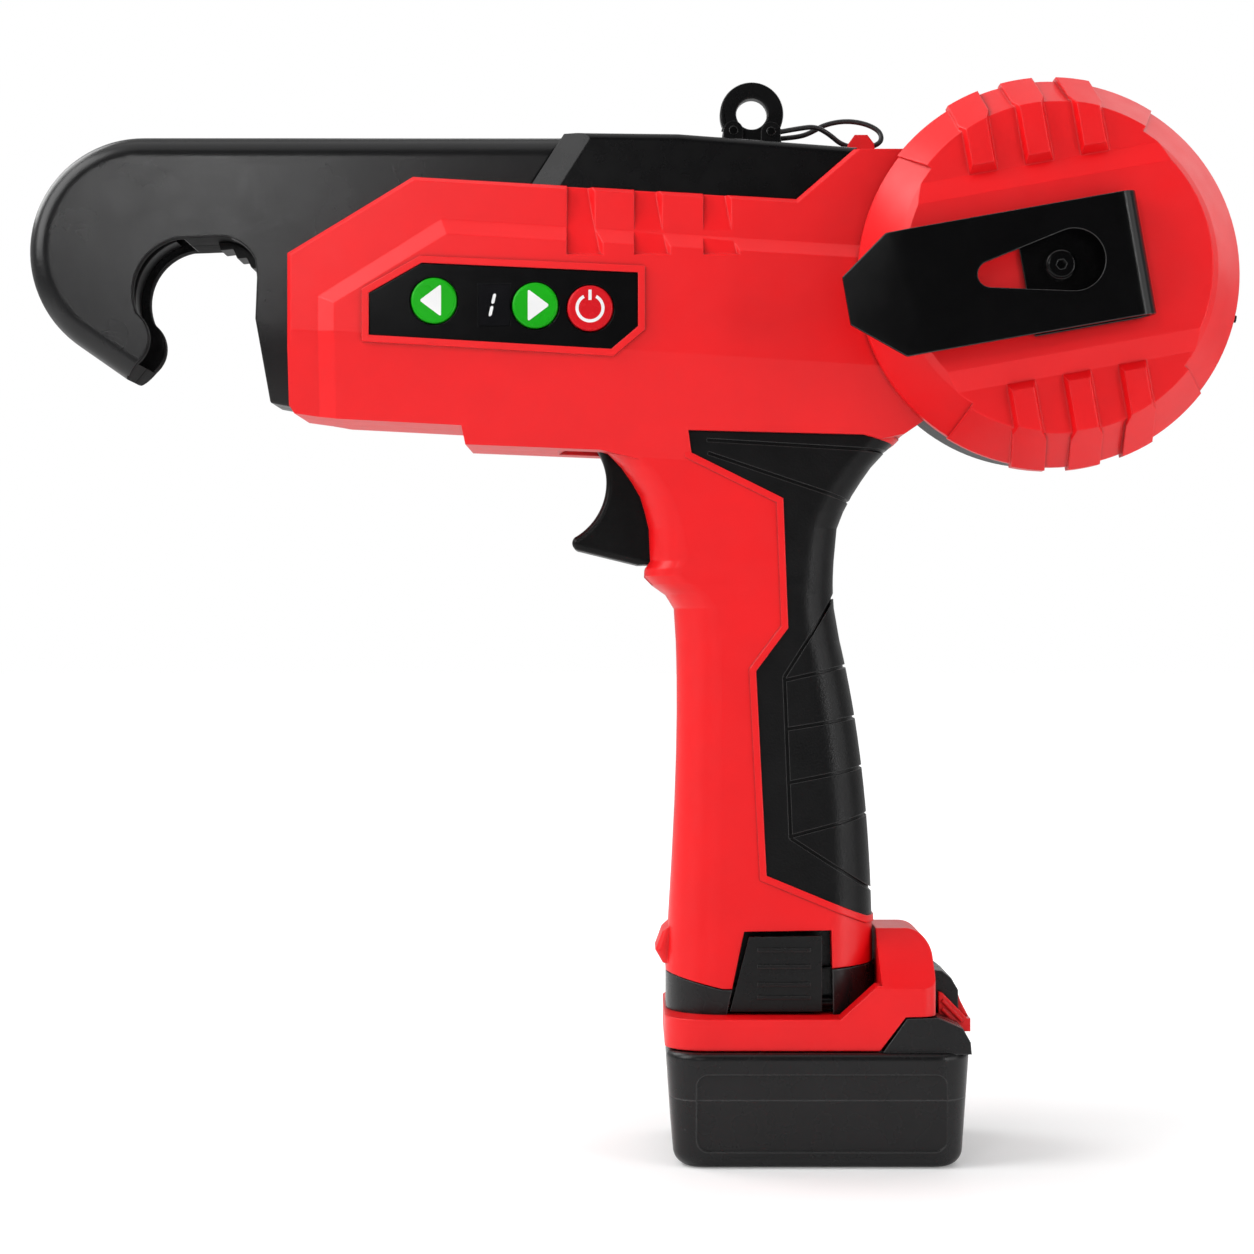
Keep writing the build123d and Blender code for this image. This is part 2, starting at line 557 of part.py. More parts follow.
def ruled_step(base, top, start, end, mode=Mode.ADD):
    """Solid with straight sides between two outlines at two depths."""
    with BuildSketch(side_plane(start)) as low:
        with BuildLine():
            Polyline(*base, close=True)
        make_face()
    with BuildSketch(side_plane(end)) as high:
        with BuildLine():
            Polyline(*top, close=True)
        make_face()
    loft([low.sketch, high.sketch], ruled=True, mode=mode)


def disc(centre, radius, start, end, mode=Mode.ADD):
    """Cylinder across the tool, between two depths."""
    with BuildSketch(side_plane(start)) as face:
        with Locations(centre):
            Circle(radius)
    extrude(face.sketch, amount=end - start, mode=mode)


def rod(centre, radius, start_x, end_x, mode=Mode.ADD):
    """Cylinder along the tool, centred on (y, z), between two x values."""
    with BuildSketch(Plane.YZ.offset(start_x)) as face:
        with Locations(centre):
            Circle(radius)
    extrude(face.sketch, amount=end_x - start_x, mode=mode)


def block(x_range, depth_range, z_range, mode=Mode.ADD):
    """Rectangular block given by its x, depth and z ranges."""
    outline = [
        (x_range[0], z_range[0]), (x_range[1], z_range[0]),
        (x_range[1], z_range[1]), (x_range[0], z_range[1]),
    ]
    prism(outline, depth_range[0], depth_range[1], mode)


def grip_faces(sections, inset):
    """Rounded cross-sections of the grip at their heights, drawn in by the inset."""
    faces = []
    for height, front, rear, half, corner in sections:
        with BuildSketch(Plane.XY.offset(height)) as section_face:
            with Locations(((front + rear) / 2, 0)):
                RectangleRounded(rear - front - 2 * inset, 2 * (half - inset), corner - inset)
        faces.append(section_face.sketch)
    return faces


def grip_body(inset):
    """Grip of two lofts: the handle, and the neck that swells into the trigger lip and the head."""
    with BuildPart() as body:
        loft(grip_faces(HANDLE_SECTIONS, inset))
        loft(grip_faces(NECK_SECTIONS, inset), ruled=True)
    return body.part


def strip(start, end, width, depths, mode=Mode.ADD):
    """Straight strip of a given width from one (x, z) point to another, between two depths."""
    half_side = Vector(end[1] - start[1], start[0] - end[0]).normalized() * (width / 2)
    outline = [
        (start[0] + half_side.X, start[1] + half_side.Y), (end[0] + half_side.X, end[1] + half_side.Y),
        (end[0] - half_side.X, end[1] - half_side.Y), (start[0] - half_side.X, start[1] - half_side.Y),
    ]
    prism(outline, depths[0], depths[1], mode)


def on_head_rim(edge):
    """Whether an edge of the head's side face lies on its front, top or slanted rear."""
    middle = edge @ 0.5
    return middle.Z > HEAD_RIM_LEVEL and middle.X < DRUM_X - DRUM_R


def on_hook_rim(point):
    """Whether a point of the hook's side face lies on its top or outer rim."""
    reach = math.dist((point.X, point.Z), HOOK_CENTRE)
    on_top = point.Z > HOOK_CENTRE[1] + HOOK_R - HOOK_RIM_BAND
    on_front = point.X < HOOK_TIP[0] and reach > HOOK_R - HOOK_RIM_BAND
    return on_top or on_front


def turned(profile, mode=Mode.ADD):
    """Body of revolution about the reel axis, from (radius, depth) points."""
    with BuildSketch(REEL_SECTION) as face:
        with BuildLine():
            Polyline(*profile, close=True)
        make_face()
    revolve(face.sketch, axis=REEL_AXIS, mode=mode)


def gear(centre, teeth, phase, depths):
    """Spur gear with straight-flanked teeth, between two depths."""
    pitch_r = GEAR_MODULE * teeth / 2
    root_r = pitch_r - GEAR_DEDENDUM
    tooth_height = GEAR_ADDENDUM + GEAR_DEDENDUM
    with BuildSketch(side_plane(depths[0])) as face:
        with Locations(centre):
            Circle(root_r)
            with PolarLocations(root_r, teeth, start_angle=phase):
                Polygon(
                    (-GEAR_ADDENDUM, -TOOTH_ROOT / 2), (tooth_height, -TOOTH_TIP / 2),
                    (tooth_height, TOOTH_TIP / 2), (-GEAR_ADDENDUM, TOOTH_ROOT / 2), align=None,
                )
    extrude(face.sketch, amount=depths[1] - depths[0])


def cord_radii(route):
    """Largest fair radius at each inner point of a cord's route."""
    radii = []
    for before, point, after in zip(route, route[1:], route[2:]):
        run_in = Vector(*point) - Vector(*before)
        run_out = Vector(*after) - Vector(*point)
        half_turn = math.radians(run_in.get_angle(run_out) / 2)
        radii.append(CORD_RUN_SHARE * min(run_in.length, run_out.length) / math.tan(half_turn))
    return radii


def finish(part, name):
    """Label a finished piece and write it under its node name."""
    part.label = name
    export_step(part, f"parts/{name}.step")


# Planes on the reel axis: a half section, across the clip, along the clip, and the lid face
clip_along = Vector(math.cos(math.radians(CLIP_ANGLE)), 0, math.sin(math.radians(CLIP_ANGLE)))
clip_up = Vector(-clip_along.Z, 0, clip_along.X)
reel_origin = Vector(DRUM_X, 0, DRUM_Z)
REEL_AXIS = Axis(reel_origin, (0, -1, 0))
REEL_SECTION = Plane(origin=reel_origin, x_dir=(1, 0, 0), z_dir=(0, 0, -1))
LID_ACROSS = Plane(origin=reel_origin, x_dir=clip_up, z_dir=clip_along)
LID_UPRIGHT = Plane(origin=reel_origin, x_dir=clip_along, z_dir=clip_up)
CLIP_SECTION = Plane(origin=reel_origin, x_dir=clip_along, z_dir=clip_up * -1)
LID_FACE = Plane(origin=reel_origin, x_dir=clip_along, z_dir=(0, -1, 0))

os.makedirs("parts", exist_ok=True)

# Recess round the rear of the grip that the rubber backstrap fills
grip = grip_body(0)
grip_core = grip_body(GRIP_CORE_INSET)
swollen_grip = grip_body(-SLEEVE_LIP_HEIGHT)
groove_floor = grip_body(SLEEVE_GROOVE_DEPTH)
with BuildPart() as backstrap_recess:
    prism(BACKSTRAP_OUTLINE, -OUTSIDE, OUTSIDE)
    add(grip_core, mode=Mode.SUBTRACT)

# Crease of the head: its direction, the way up from it and the outward normal of the facet below it
crease_run = Vector(FACE_CREASE_END[0] - FACE_CREASE_START[0], 0, FACE_CREASE_END[1] - FACE_CREASE_START[1])
crease_along = crease_run.normalized()
crease_up = crease_run.cross(Vector(0, 1, 0)).normalized()
facet_tilt = math.radians(FACET_TILT)
facet_out = Vector(0, -1, 0) * math.cos(facet_tilt) - crease_up * math.sin(facet_tilt)
crease_start = Vector(FACE_CREASE_START[0], 0, FACE_CREASE_START[1])
crease_section = Plane(origin=crease_start, x_dir=crease_up, z_dir=crease_along)
crease_level = Plane(origin=crease_start, x_dir=crease_along, z_dir=crease_up)
border_facet_plane = Plane(
    origin=crease_start + Vector(0, -HEAD_BORDER_HALF, 0), x_dir=crease_along, z_dir=facet_out
)

# Wedge below the crease that tilts the border of the head inwards
with BuildPart() as border_facet:
    with BuildSketch(crease_section):
        with BuildLine():
            Polyline(
                (0, HEAD_BORDER_HALF),
                (-FACET_FALL, HEAD_BORDER_HALF - FACET_FALL * math.tan(facet_tilt)),
                (-FACET_FALL, OUTSIDE),
                (0, OUTSIDE),
                close=True,
            )
        make_face()
    extrude(amount=FACET_REACH, both=True)

# Raised face of the head: an upper panel, and a lower one of the same height on the facet
upright_run = FACET_FALL * crease_up.X * math.cos(facet_tilt) / crease_along.X
face_height = (HEAD_FACE_HALF - HEAD_BORDER_HALF) * math.cos(facet_tilt)
lower_faces = []
for front_x, height in zip(FACE_FRONT_X, (0, face_height)):
    front = (front_x - FACE_CREASE_START[0]) / crease_along.X
    rise = height * math.tan(facet_tilt)
    with BuildSketch(border_facet_plane.offset(height)) as lower_face:
        with BuildLine():
            Polyline(
                (front, rise), (front + upright_run, -FACET_FALL), (FACET_REACH, -FACET_FALL),
                (FACET_REACH, rise), close=True,
            )
        make_face()
    lower_faces.append(lower_face.sketch)
with BuildPart() as raised_face:
    ruled_step(FACE_BASE_OUTLINE, FACE_TOP_OUTLINE, HEAD_BORDER_HALF, HEAD_FACE_HALF)
    split(bisect_by=crease_level, keep=Keep.TOP)
    loft(lower_faces, ruled=True)
    prism(HEAD_OUTLINE, 0, OUTSIDE, Mode.INTERSECT)

# Grooves across the top of the head, each with a slanted rear wall
with BuildPart() as groove_plans:
    for groove_x in GROOVE_CENTRES:
        left = groove_x - GROOVE_WIDTH / 2
        right = groove_x + GROOVE_WIDTH / 2
        with BuildSketch(Plane.XY.offset(GROOVE_SPAN_Z[0])) as groove_plan:
            with BuildLine():
                Polyline(
                    (left, -GROOVE_DEPTHS[0]), (right + GROOVE_WALL_X[0], -GROOVE_DEPTHS[0]),
                    (right + GROOVE_WALL_X[1], -GROOVE_DEPTHS[1]), (left, -GROOVE_DEPTHS[1]), close=True,
                )
            make_face()
        extrude(groove_plan.sketch, amount=GROOVE_SPAN_Z[1] - GROOVE_SPAN_Z[0])
with BuildPart() as head_grooves:
    with BuildSketch(Plane.YZ.offset(GROOVE_SPAN_X[0])):
        with BuildLine():
            Polyline(*GROOVE_PROFILE, close=True)
        make_face()
    extrude(amount=GROOVE_SPAN_X[1] - GROOVE_SPAN_X[0])
    add(groove_plans.part, mode=Mode.INTERSECT)

# Thin lip on the grip round the rubber backstrap
with BuildPart() as sleeve_lip:
    prism(BACKSTRAP_OUTLINE, -OUTSIDE, OUTSIDE, margin=SLEEVE_LIP_WIDTH)
    prism(BACKSTRAP_OUTLINE, -OUTSIDE, OUTSIDE, Mode.SUBTRACT)
    add(swollen_grip, mode=Mode.INTERSECT)

# Rounded nub at the foot of the grip
with BuildPart() as front_nub:
    prism(FRONT_NUB_OUTLINE, -FRONT_NUB_HALF, FRONT_NUB_HALF)
    nub_edges = front_nub.edges().filter_by(lambda edge: (edge @ 0.5).X < HANDLE_SECTIONS[0][1] + OVERCUT)
    fillet(nub_edges.filter_by(Axis.Y, reverse=True), FRONT_NUB_ROUNDING)

# What both halves of the housing share: head, raised face, grip and cavities
with BuildPart() as housing_half:
    prism(HEAD_OUTLINE, 0, HEAD_BORDER_HALF)
    chamfer(housing_half.faces().sort_by(Axis.Y)[0].edges().filter_by(on_head_rim), HEAD_RIM_CHAMFER)
    add(border_facet.part, mode=Mode.SUBTRACT)
    add(raised_face.part)
    add(grip)
    add(sleeve_lip.part)
    add(front_nub.part)
    split(bisect_by=Plane.XZ, keep=Keep.TOP)
    prism(TETHER_LUG_OUTLINE, 0, TETHER_LUG_HALF)
    add(head_grooves.part, mode=Mode.SUBTRACT)
    add(backstrap_recess.part, mode=Mode.SUBTRACT)
    prism(HEAD_CAVITY_OUTLINE, 0, HEAD_CAVITY_DEPTH, Mode.SUBTRACT)
    prism(FACE_CAVITY_OUTLINE, HEAD_CAVITY_DEPTH, FACE_CAVITY_DEPTH, Mode.SUBTRACT)
    prism(GRIP_CAVITY_OUTLINE, 0, GRIP_CAVITY_DEPTH, Mode.SUBTRACT)
    prism(TRIGGER_POCKET_OUTLINE, 0, TRIGGER_POCKET_DEPTH, Mode.SUBTRACT)
    for place in SCREW_PLACES:
        disc(place, SCREW_POST_R, 0, HEAD_CAVITY_DEPTH)
        disc(place, SCREW_R, 0, SCREW_LENGTH + SCREW_HEAD_DEPTH, Mode.SUBTRACT)
    block(FEED_OPENING_X, (0, FEED_OPENING_HALF), FEED_OPENING_Z, Mode.SUBTRACT)
    rod((0, WIRE_Z), WIRE_TUBE_R, *WIRE_WAY_X, Mode.SUBTRACT)
    rod((0, TETHER_HOLE_Z), TETHER_HOLE_R, *TETHER_HOLE_X, Mode.SUBTRACT)
    rod((0, TWIST_Z), TWIST_HOLE_R, *TWIST_HOLE_X, Mode.SUBTRACT)
    prism(TAB_WINDOW, TAB_WINDOW_DEPTH, OUTSIDE, Mode.SUBTRACT)
    skirt_ends = [(SKIRT_EDGE[-1][0], SKIRT_CLEAR_Z), (SKIRT_EDGE[0][0], SKIRT_CLEAR_Z)]
    prism(SKIRT_EDGE + skirt_ends, 0, OUTSIDE, Mode.SUBTRACT)

# Left half, with the bezel and window of the control panel
with BuildPart() as left_housing:
    add(housing_half.part)
    prism(PANEL_OUTLINE, HEAD_BORDER_HALF, BEZEL_DEPTH, margin=BEZEL_MARGIN)
    prism(PANEL_OUTLINE, HEAD_CAVITY_DEPTH, BEZEL_DEPTH + FIT, Mode.SUBTRACT)
    disc((DRUM_X, DRUM_Z), DRUM_R + FIT / 2, -OVERCUT, OUTSIDE, Mode.SUBTRACT)
finish(left_housing.part, "left_housing")

# Right half, with the tapered seat of the drum and wells for the screw heads
with BuildPart() as right_housing:
    mirror(housing_half.part, about=Plane.XZ)
    turned(DRUM_SEAT, Mode.SUBTRACT)
    for place in SCREW_PLACES:
        disc(place, SCREW_R, SCREW_HEAD_DEPTH, 0, Mode.SUBTRACT)
        disc(place, SCREW_WELL_R, -OUTSIDE, SCREW_HEAD_DEPTH, Mode.SUBTRACT)
finish(right_housing.part, "right_housing")

# Screws that hold the two halves together
with BuildPart() as housing_screws:
    for place in SCREW_PLACES:
        disc(place, SCREW_R, SCREW_HEAD_DEPTH, SCREW_HEAD_DEPTH + SCREW_LENGTH)
        disc(place, SCREW_HEAD_R, SCREW_HEAD_DEPTH - SCREW_HEAD_HEIGHT, SCREW_HEAD_DEPTH)
        with BuildSketch(side_plane(SCREW_HEAD_DEPTH - SCREW_HEAD_HEIGHT)) as socket:
            with Locations(place):
                RegularPolygon(SCREW_SOCKET_R, 6)
        extrude(socket.sketch, amount=SCREW_SOCKET_DEPTH, mode=Mode.SUBTRACT)
finish(housing_screws.part, "housing_screws")

# Rubber backstrap that fills the recess round the rear of the grip, with its sunk lines
with BuildPart() as sleeve_grooves:
    for start, end in SLEEVE_GROOVES:
        strip(start, end, SLEEVE_GROOVE_WIDTH, (-OUTSIDE, OUTSIDE))
    add(groove_floor, mode=Mode.SUBTRACT)
with BuildPart() as grip_sleeve:
    add(grip)
    add(backstrap_recess.part, mode=Mode.INTERSECT)
    add(sleeve_grooves.part, mode=Mode.SUBTRACT)
finish(grip_sleeve.part, "grip_sleeve")

# Hook shell: left half with its cavity open to the throat, right half as its mirror image
throat_arc = ThreePointArc(THROAT_LIP[2], THROAT_LEFT_MID, THROAT_TOP_LEFT, mode=Mode.PRIVATE)
throat_centre = (throat_arc.arc_center.X, throat_arc.arc_center.Y)
with BuildPart() as hook_shell_left:
    with BuildSketch(side_plane(0)):
        with BuildLine():
            Line(HOOK_TOP_REAR, (HOOK_CENTRE[0], HOOK_CENTRE[1] + HOOK_R))
            nose_arc = CenterArc(HOOK_CENTRE, HOOK_R, 90, HOOK_TANGENT_ANGLE - 90)
            Line(nose_arc @ 1, HOOK_TIP)
            Line(HOOK_TIP, THROAT_LIP[0])
            ThreePointArc(*THROAT_LIP)
            ThreePointArc(THROAT_LIP[2], THROAT_LEFT_MID, THROAT_TOP_LEFT)
            Line(THROAT_TOP_LEFT, THROAT_CORNER[0])
            ThreePointArc(*THROAT_CORNER)
            Polyline(THROAT_CORNER[2], *NOSE_FRONT, HEAD_OUTLINE[1], HEAD_OUTLINE[2], HOOK_FOOT_REAR)
            Line(HOOK_FOOT_REAR, HOOK_TOP_REAR)
        make_face()
    extrude(amount=HOOK_HALF)
    side_edges = hook_shell_left.faces().sort_by(Axis.Y)[0].edges()
    fillet([edge for edge in side_edges if on_hook_rim(edge @ 0.5)], HOOK_RIM_FILLET)
    with BuildSketch(side_plane(0)):
        with BuildLine():
            inner_arc = CenterArc(HOOK_CENTRE, HOOK_R - HOOK_WALL, 90, HOOK_TANGENT_ANGLE - 90)
            Polyline(inner_arc @ 1, *HOOK_CAVITY_FLOOR, inner_arc @ 0)
        make_face()
    extrude(amount=HOOK_HALF - HOOK_SIDE_WALL, mode=Mode.SUBTRACT)
    with BuildSketch(Plane.YZ.offset(TWIST_HOLE_X[0])) as nose_facet:
        with BuildLine():
            Polyline(*NOSE_FACET, close=True)
        make_face()
    extrude(nose_facet.sketch, amount=TWIST_HOLE_X[1] - TWIST_HOLE_X[0], mode=Mode.SUBTRACT)
    rod((0, TWIST_Z), TWIST_HOLE_R, *TWIST_HOLE_X, Mode.SUBTRACT)
finish(hook_shell_left.part, "hook_shell_left")

with BuildPart() as hook_shell_right:
    mirror(hook_shell_left.part, about=Plane.XZ)
finish(hook_shell_right.part, "hook_shell_right")

# Curved channel inside the hook that turns the wire round the shoot
with BuildPart() as wire_guide:
    with BuildSketch(side_plane(-GUIDE_HALF)):
        with BuildLine():
            near = CenterArc(throat_centre, throat_arc.radius + GUIDE_SETBACK, *GUIDE_SPAN)
            far = CenterArc(throat_centre, throat_arc.radius + GUIDE_BACK, *GUIDE_SPAN)
            Line(near @ 0, far @ 0)
            Line(near @ 1, far @ 1)
        make_face()
    extrude(amount=2 * GUIDE_HALF)
    with BuildSketch(side_plane(-GUIDE_GROOVE_HALF)):
        with Locations(throat_centre):
            Circle(throat_arc.radius + GUIDE_SETBACK + GUIDE_GROOVE_DEPTH)
    extrude(amount=2 * GUIDE_GROOVE_HALF, mode=Mode.SUBTRACT)
finish(wire_guide.part, "wire_guide")

# Rear top cover with its bevelled front
bevel_run = Vector(HOOK_TOP_REAR[0] - HOOK_FOOT_REAR[0], 0, HOOK_TOP_REAR[1] - HOOK_FOOT_REAR[1])
bevel_plane = Plane(
    origin=(HOOK_FOOT_REAR[0], 0, HOOK_FOOT_REAR[1]),
    x_dir=Vector(0, 1, 0).cross(bevel_run).normalized(),
    z_dir=bevel_run.normalized(),
)
with BuildPart() as top_cover:
    prism(TOP_COVER_OUTLINE, -TOP_COVER_HALF, TOP_COVER_HALF)
    side_edges = top_cover.edges().filter_by(lambda edge: abs((edge @ 0.5).Y) > HOOK_HALF)
    fillet(side_edges.filter_by(lambda edge: (edge @ 0.5).Z > TOP_EDGE_LEVEL), TOP_COVER_FILLET)
    for side in (-1, 1):
        outer = side * (TOP_COVER_HALF + OVERCUT)
        front_x, rear_x = TOP_COVER_BEVEL_X
        with BuildSketch(bevel_plane) as bevel_face:
            with BuildLine():
                Polyline((front_x, side * HOOK_HALF), (rear_x, outer), (front_x, outer), close=True)
            make_face()
        extrude(bevel_face.sketch, amount=TOP_COVER_BEVEL_REACH, both=True, mode=Mode.SUBTRACT)
    prism(TOP_COVER_CAVITY, -TOP_COVER_CAVITY_HALF, TOP_COVER_CAVITY_HALF, Mode.SUBTRACT)
    rod((0, WIRE_Z), WIRE_TUBE_R, *WIRE_WAY_X, Mode.SUBTRACT)
    notch_half = TETHER_LUG_HALF + FIT
    block(TOP_COVER_NOTCH_X, (-notch_half, notch_half), TOP_COVER_NOTCH_Z, Mode.SUBTRACT)
    for side in (-1, 1):
        ear_depths = (side * EAR_DEPTHS[0], side * EAR_DEPTHS[1])
        for pin in HANGER_PINS:
            disc(pin, EAR_R, *ear_depths)
            block((pin[0] - EAR_R, pin[0] + EAR_R), ear_depths, (EAR_FOOT_TOP, pin[1]))
            disc(pin, HANGER_PIN_R, *ear_depths, Mode.SUBTRACT)
finish(top_cover.part, "top_cover")

# Drum bowl on the far side of the reel, with two catch studs at its rear
with BuildPart() as drum_bowl:
    turned(DRUM_OUTSIDE)
    for angle in STUD_ANGLES:
        reach = Vector(math.cos(math.radians(angle)), 0, math.sin(math.radians(angle)))
        stud_foot = reel_origin + reach * (DRUM_R - OVERCUT) + Vector(0, -STUD_DEPTH, 0)
        with BuildSketch(Plane(origin=stud_foot, z_dir=reach)) as stud_face:
            Circle(STUD_R)
        extrude(stud_face.sketch, amount=STUD_REACH - DRUM_R + OVERCUT)
    block(*DRUM_LUG)
    turned(DRUM_INSIDE, Mode.SUBTRACT)
    rod((0, WIRE_Z), WIRE_TUBE_R, *WIRE_WAY_X, Mode.SUBTRACT)
finish(drum_bowl.part, "drum_bowl")

# Spindle that carries the spool
with BuildPart() as spool_spindle:
    turned(SPINDLE_PROFILE)
finish(spool_spindle.part, "spool_spindle")

# Wire spool and its winding
with BuildPart() as spool:
    disc((DRUM_X, DRUM_Z), SPOOL_HUB_R, SPOOL_FAR, SPOOL_NEAR)
    for flange_depth in (SPOOL_FAR, SPOOL_NEAR - SPOOL_FLANGE):
        disc((DRUM_X, DRUM_Z), SPOOL_FLANGE_R, flange_depth, flange_depth + SPOOL_FLANGE)
    for spoke in range(SPOOL_SPOKES):
        angle = math.radians(360.0 * spoke / SPOOL_SPOKES)
        cutout = (DRUM_X + SPOOL_SPOKE_RING * math.cos(angle), DRUM_Z + SPOOL_SPOKE_RING * math.sin(angle))
        disc(cutout, SPOOL_CUTOUT_R, SPOOL_FAR, SPOOL_NEAR, Mode.SUBTRACT)
    disc((DRUM_X, DRUM_Z), SPINDLE_R + RUNNING_FIT, SPOOL_FAR, SPOOL_NEAR, Mode.SUBTRACT)
finish(spool.part, "spool")

with BuildPart() as wire_coil:
    disc((DRUM_X, DRUM_Z), COIL_R, SPOOL_FAR + SPOOL_FLANGE, SPOOL_NEAR - SPOOL_FLANGE)
    disc((DRUM_X, DRUM_Z), SPOOL_HUB_R, SPOOL_FAR, SPOOL_NEAR, Mode.SUBTRACT)
finish(wire_coil.part, "wire_coil")

# Six grip ribs of the lid, cut from one ring, and the two raised sectors of the rim that carry them
with BuildPart() as rib_ring:
    turned(LID_RIB)
with BuildPart() as lid_ribs:
    flank = (LID_RIB_CREST[0] - LID_RIB_FOOT[0]) / (LID_RIB_CREST[1] - LID_RIB_FOOT[1])
    rib_foot = LID_RIB_FOOT[0]
    rib_top = rib_foot + flank * (LID_RIB_DEPTHS[1] - LID_RIB_FOOT[1])
    for place in LID_RIB_PLACES:
        with BuildSketch(LID_UPRIGHT) as rib_section:
            with BuildLine():
                Polyline(
                    (place - rib_foot, -LID_RIB_DEPTHS[0]), (place + rib_foot, -LID_RIB_DEPTHS[0]),
                    (place + rib_foot, -LID_RIB_FOOT[1]), (place + rib_top, -LID_RIB_DEPTHS[1]),
                    (place - rib_top, -LID_RIB_DEPTHS[1]), (place - rib_foot, -LID_RIB_FOOT[1]), close=True,
                )
            make_face()
        extrude(rib_section.sketch, amount=LID_REACH, both=True)
    with BuildSketch(LID_ACROSS) as rib_gap:
        with BuildLine():
            Polyline(
                *LID_RIB_GAP, *[(-up, depth) for up, depth in reversed(LID_RIB_GAP)], close=True,
            )
        make_face()
    extrude(rib_gap.sketch, amount=LID_REACH, both=True, mode=Mode.SUBTRACT)
    add(rib_ring.part, mode=Mode.INTERSECT)
with BuildPart() as sector_ring:
    turned(LID_SECTOR)
with BuildPart() as lid_sectors:
    sector_half = LID_REACH * math.tan(math.radians(LID_SECTOR_ANGLE))
    with BuildSketch(LID_FACE) as sector_plan:
        for side in (-1, 1):
            with BuildLine():
                outer_up = side * LID_REACH
                Polyline((0, 0), (-sector_half, outer_up), (sector_half, outer_up), close=True)
            make_face()
    extrude(sector_plan.sketch, amount=LID_REACH)
    add(sector_ring.part, mode=Mode.INTERSECT)

# Lid with its stepped face
with BuildPart() as spool_lid:
    turned(LID_PROFILE)
    for side in (-1, 1):
        with BuildSketch(LID_ACROSS) as step_face:
            with BuildLine():
                Polyline(*[(side * up, depth) for up, depth in LID_STEP], close=True)
            make_face()
        extrude(step_face.sketch, amount=LID_RIM_R, both=True, mode=Mode.SUBTRACT)
    add(lid_sectors.part)
    add(lid_ribs.part)
    turned(LID_SPIGOT)
    turned(LID_BOSS)
    disc((DRUM_X, DRUM_Z), CLIP_SCREW_R, CLIP_SCREW_FOOT, CLIP_SCREW_SEAT, Mode.SUBTRACT)
finish(spool_lid.part, "spool_lid")

with BuildPart() as lid_seal:
    turned(SEAL_PROFILE)
finish(lid_seal.part, "lid_seal")

# Bush between the spindle and the lid
with BuildPart() as lid_bush:
    turned(BUSH_PROFILE)
finish(lid_bush.part, "lid_bush")

# Belt clip folded from sheet steel
fold_mid = (LID_NEAR_DEPTH + CLIP_OUTER_DEPTH) / 2
fold_r = (CLIP_OUTER_DEPTH - LID_NEAR_DEPTH) / 2
with BuildPart() as belt_clip:
    with BuildSketch(CLIP_SECTION.offset(CLIP_DROP)):
        with BuildLine():
            outer_fold = CenterArc((CLIP_FOLD_X, fold_mid), fold_r, -90, 180)
            inner_fold = CenterArc((CLIP_FOLD_X, fold_mid), fold_r - CLIP_SHEET, -90, 180)
            Polyline(
                outer_fold @ 1,
                (CLIP_BEND_X, CLIP_OUTER_DEPTH),
                (CLIP_TIP_X, CLIP_OUTER_DEPTH - CLIP_TIP_DROP),
                (CLIP_TIP_X, CLIP_OUTER_DEPTH - CLIP_TIP_DROP - CLIP_SHEET),
                (CLIP_BEND_X, CLIP_OUTER_DEPTH - CLIP_SHEET),
                inner_fold @ 1,
            )
            Polyline(
                inner_fold @ 0, (CLIP_INNER_END, LID_NEAR_DEPTH + CLIP_SHEET),
                (CLIP_INNER_END, LID_NEAR_DEPTH), outer_fold @ 0,
            )
        make_face()
    extrude(amount=CLIP_HALF, both=True)
    with BuildSketch(LID_FACE.offset(fold_mid)) as tip_corners:
        for side in (-1, 1):
            band_edge = side * CLIP_HALF - CLIP_DROP
            with BuildLine():
                Polyline(
                    (CLIP_CORNER_X, band_edge),
                    (CLIP_TIP_X - OVERCUT, side * CLIP_TIP_HALF),
                    (CLIP_TIP_X - OVERCUT, band_edge + side * OVERCUT),
                    (CLIP_CORNER_X, band_edge + side * OVERCUT),
                    close=True,
                )
            make_face()
    extrude(tip_corners.sketch, amount=fold_r + OVERCUT, mode=Mode.SUBTRACT)
    with BuildSketch(LID_FACE.offset(fold_mid)) as eye:
        with Locations((CLIP_EYE_X, 0)):
            Circle(CLIP_EYE_R)
        with Locations((CLIP_EYE_TAIL_X, 0)):
            Circle(CLIP_EYE_TAIL_R)
        make_hull()
    extrude(eye.sketch, amount=fold_r + OVERCUT, mode=Mode.SUBTRACT)
    disc((DRUM_X, DRUM_Z), CLIP_SCREW_R, CLIP_SCREW_FOOT, fold_mid, Mode.SUBTRACT)
finish(belt_clip.part, "belt_clip")

# Hex-socket screw that holds the clip on the lid
with BuildPart() as clip_screw:
    disc((DRUM_X, DRUM_Z), CLIP_SCREW_R, CLIP_SCREW_FOOT, CLIP_SCREW_SEAT)
    disc((DRUM_X, DRUM_Z), CLIP_SCREW_HEAD_R, CLIP_SCREW_SEAT, CLIP_SCREW_TOP)
    fillet(clip_screw.edges().group_by(Axis.Y)[0], CLIP_SCREW_ROUNDING)
    with BuildSketch(LID_FACE.offset(CLIP_SCREW_TOP)):
        RegularPolygon(CLIP_SCREW_SOCKET_R, 6)
    extrude(amount=-CLIP_SCREW_SOCKET_DEPTH, mode=Mode.SUBTRACT)
finish(clip_screw.part, "clip_screw")

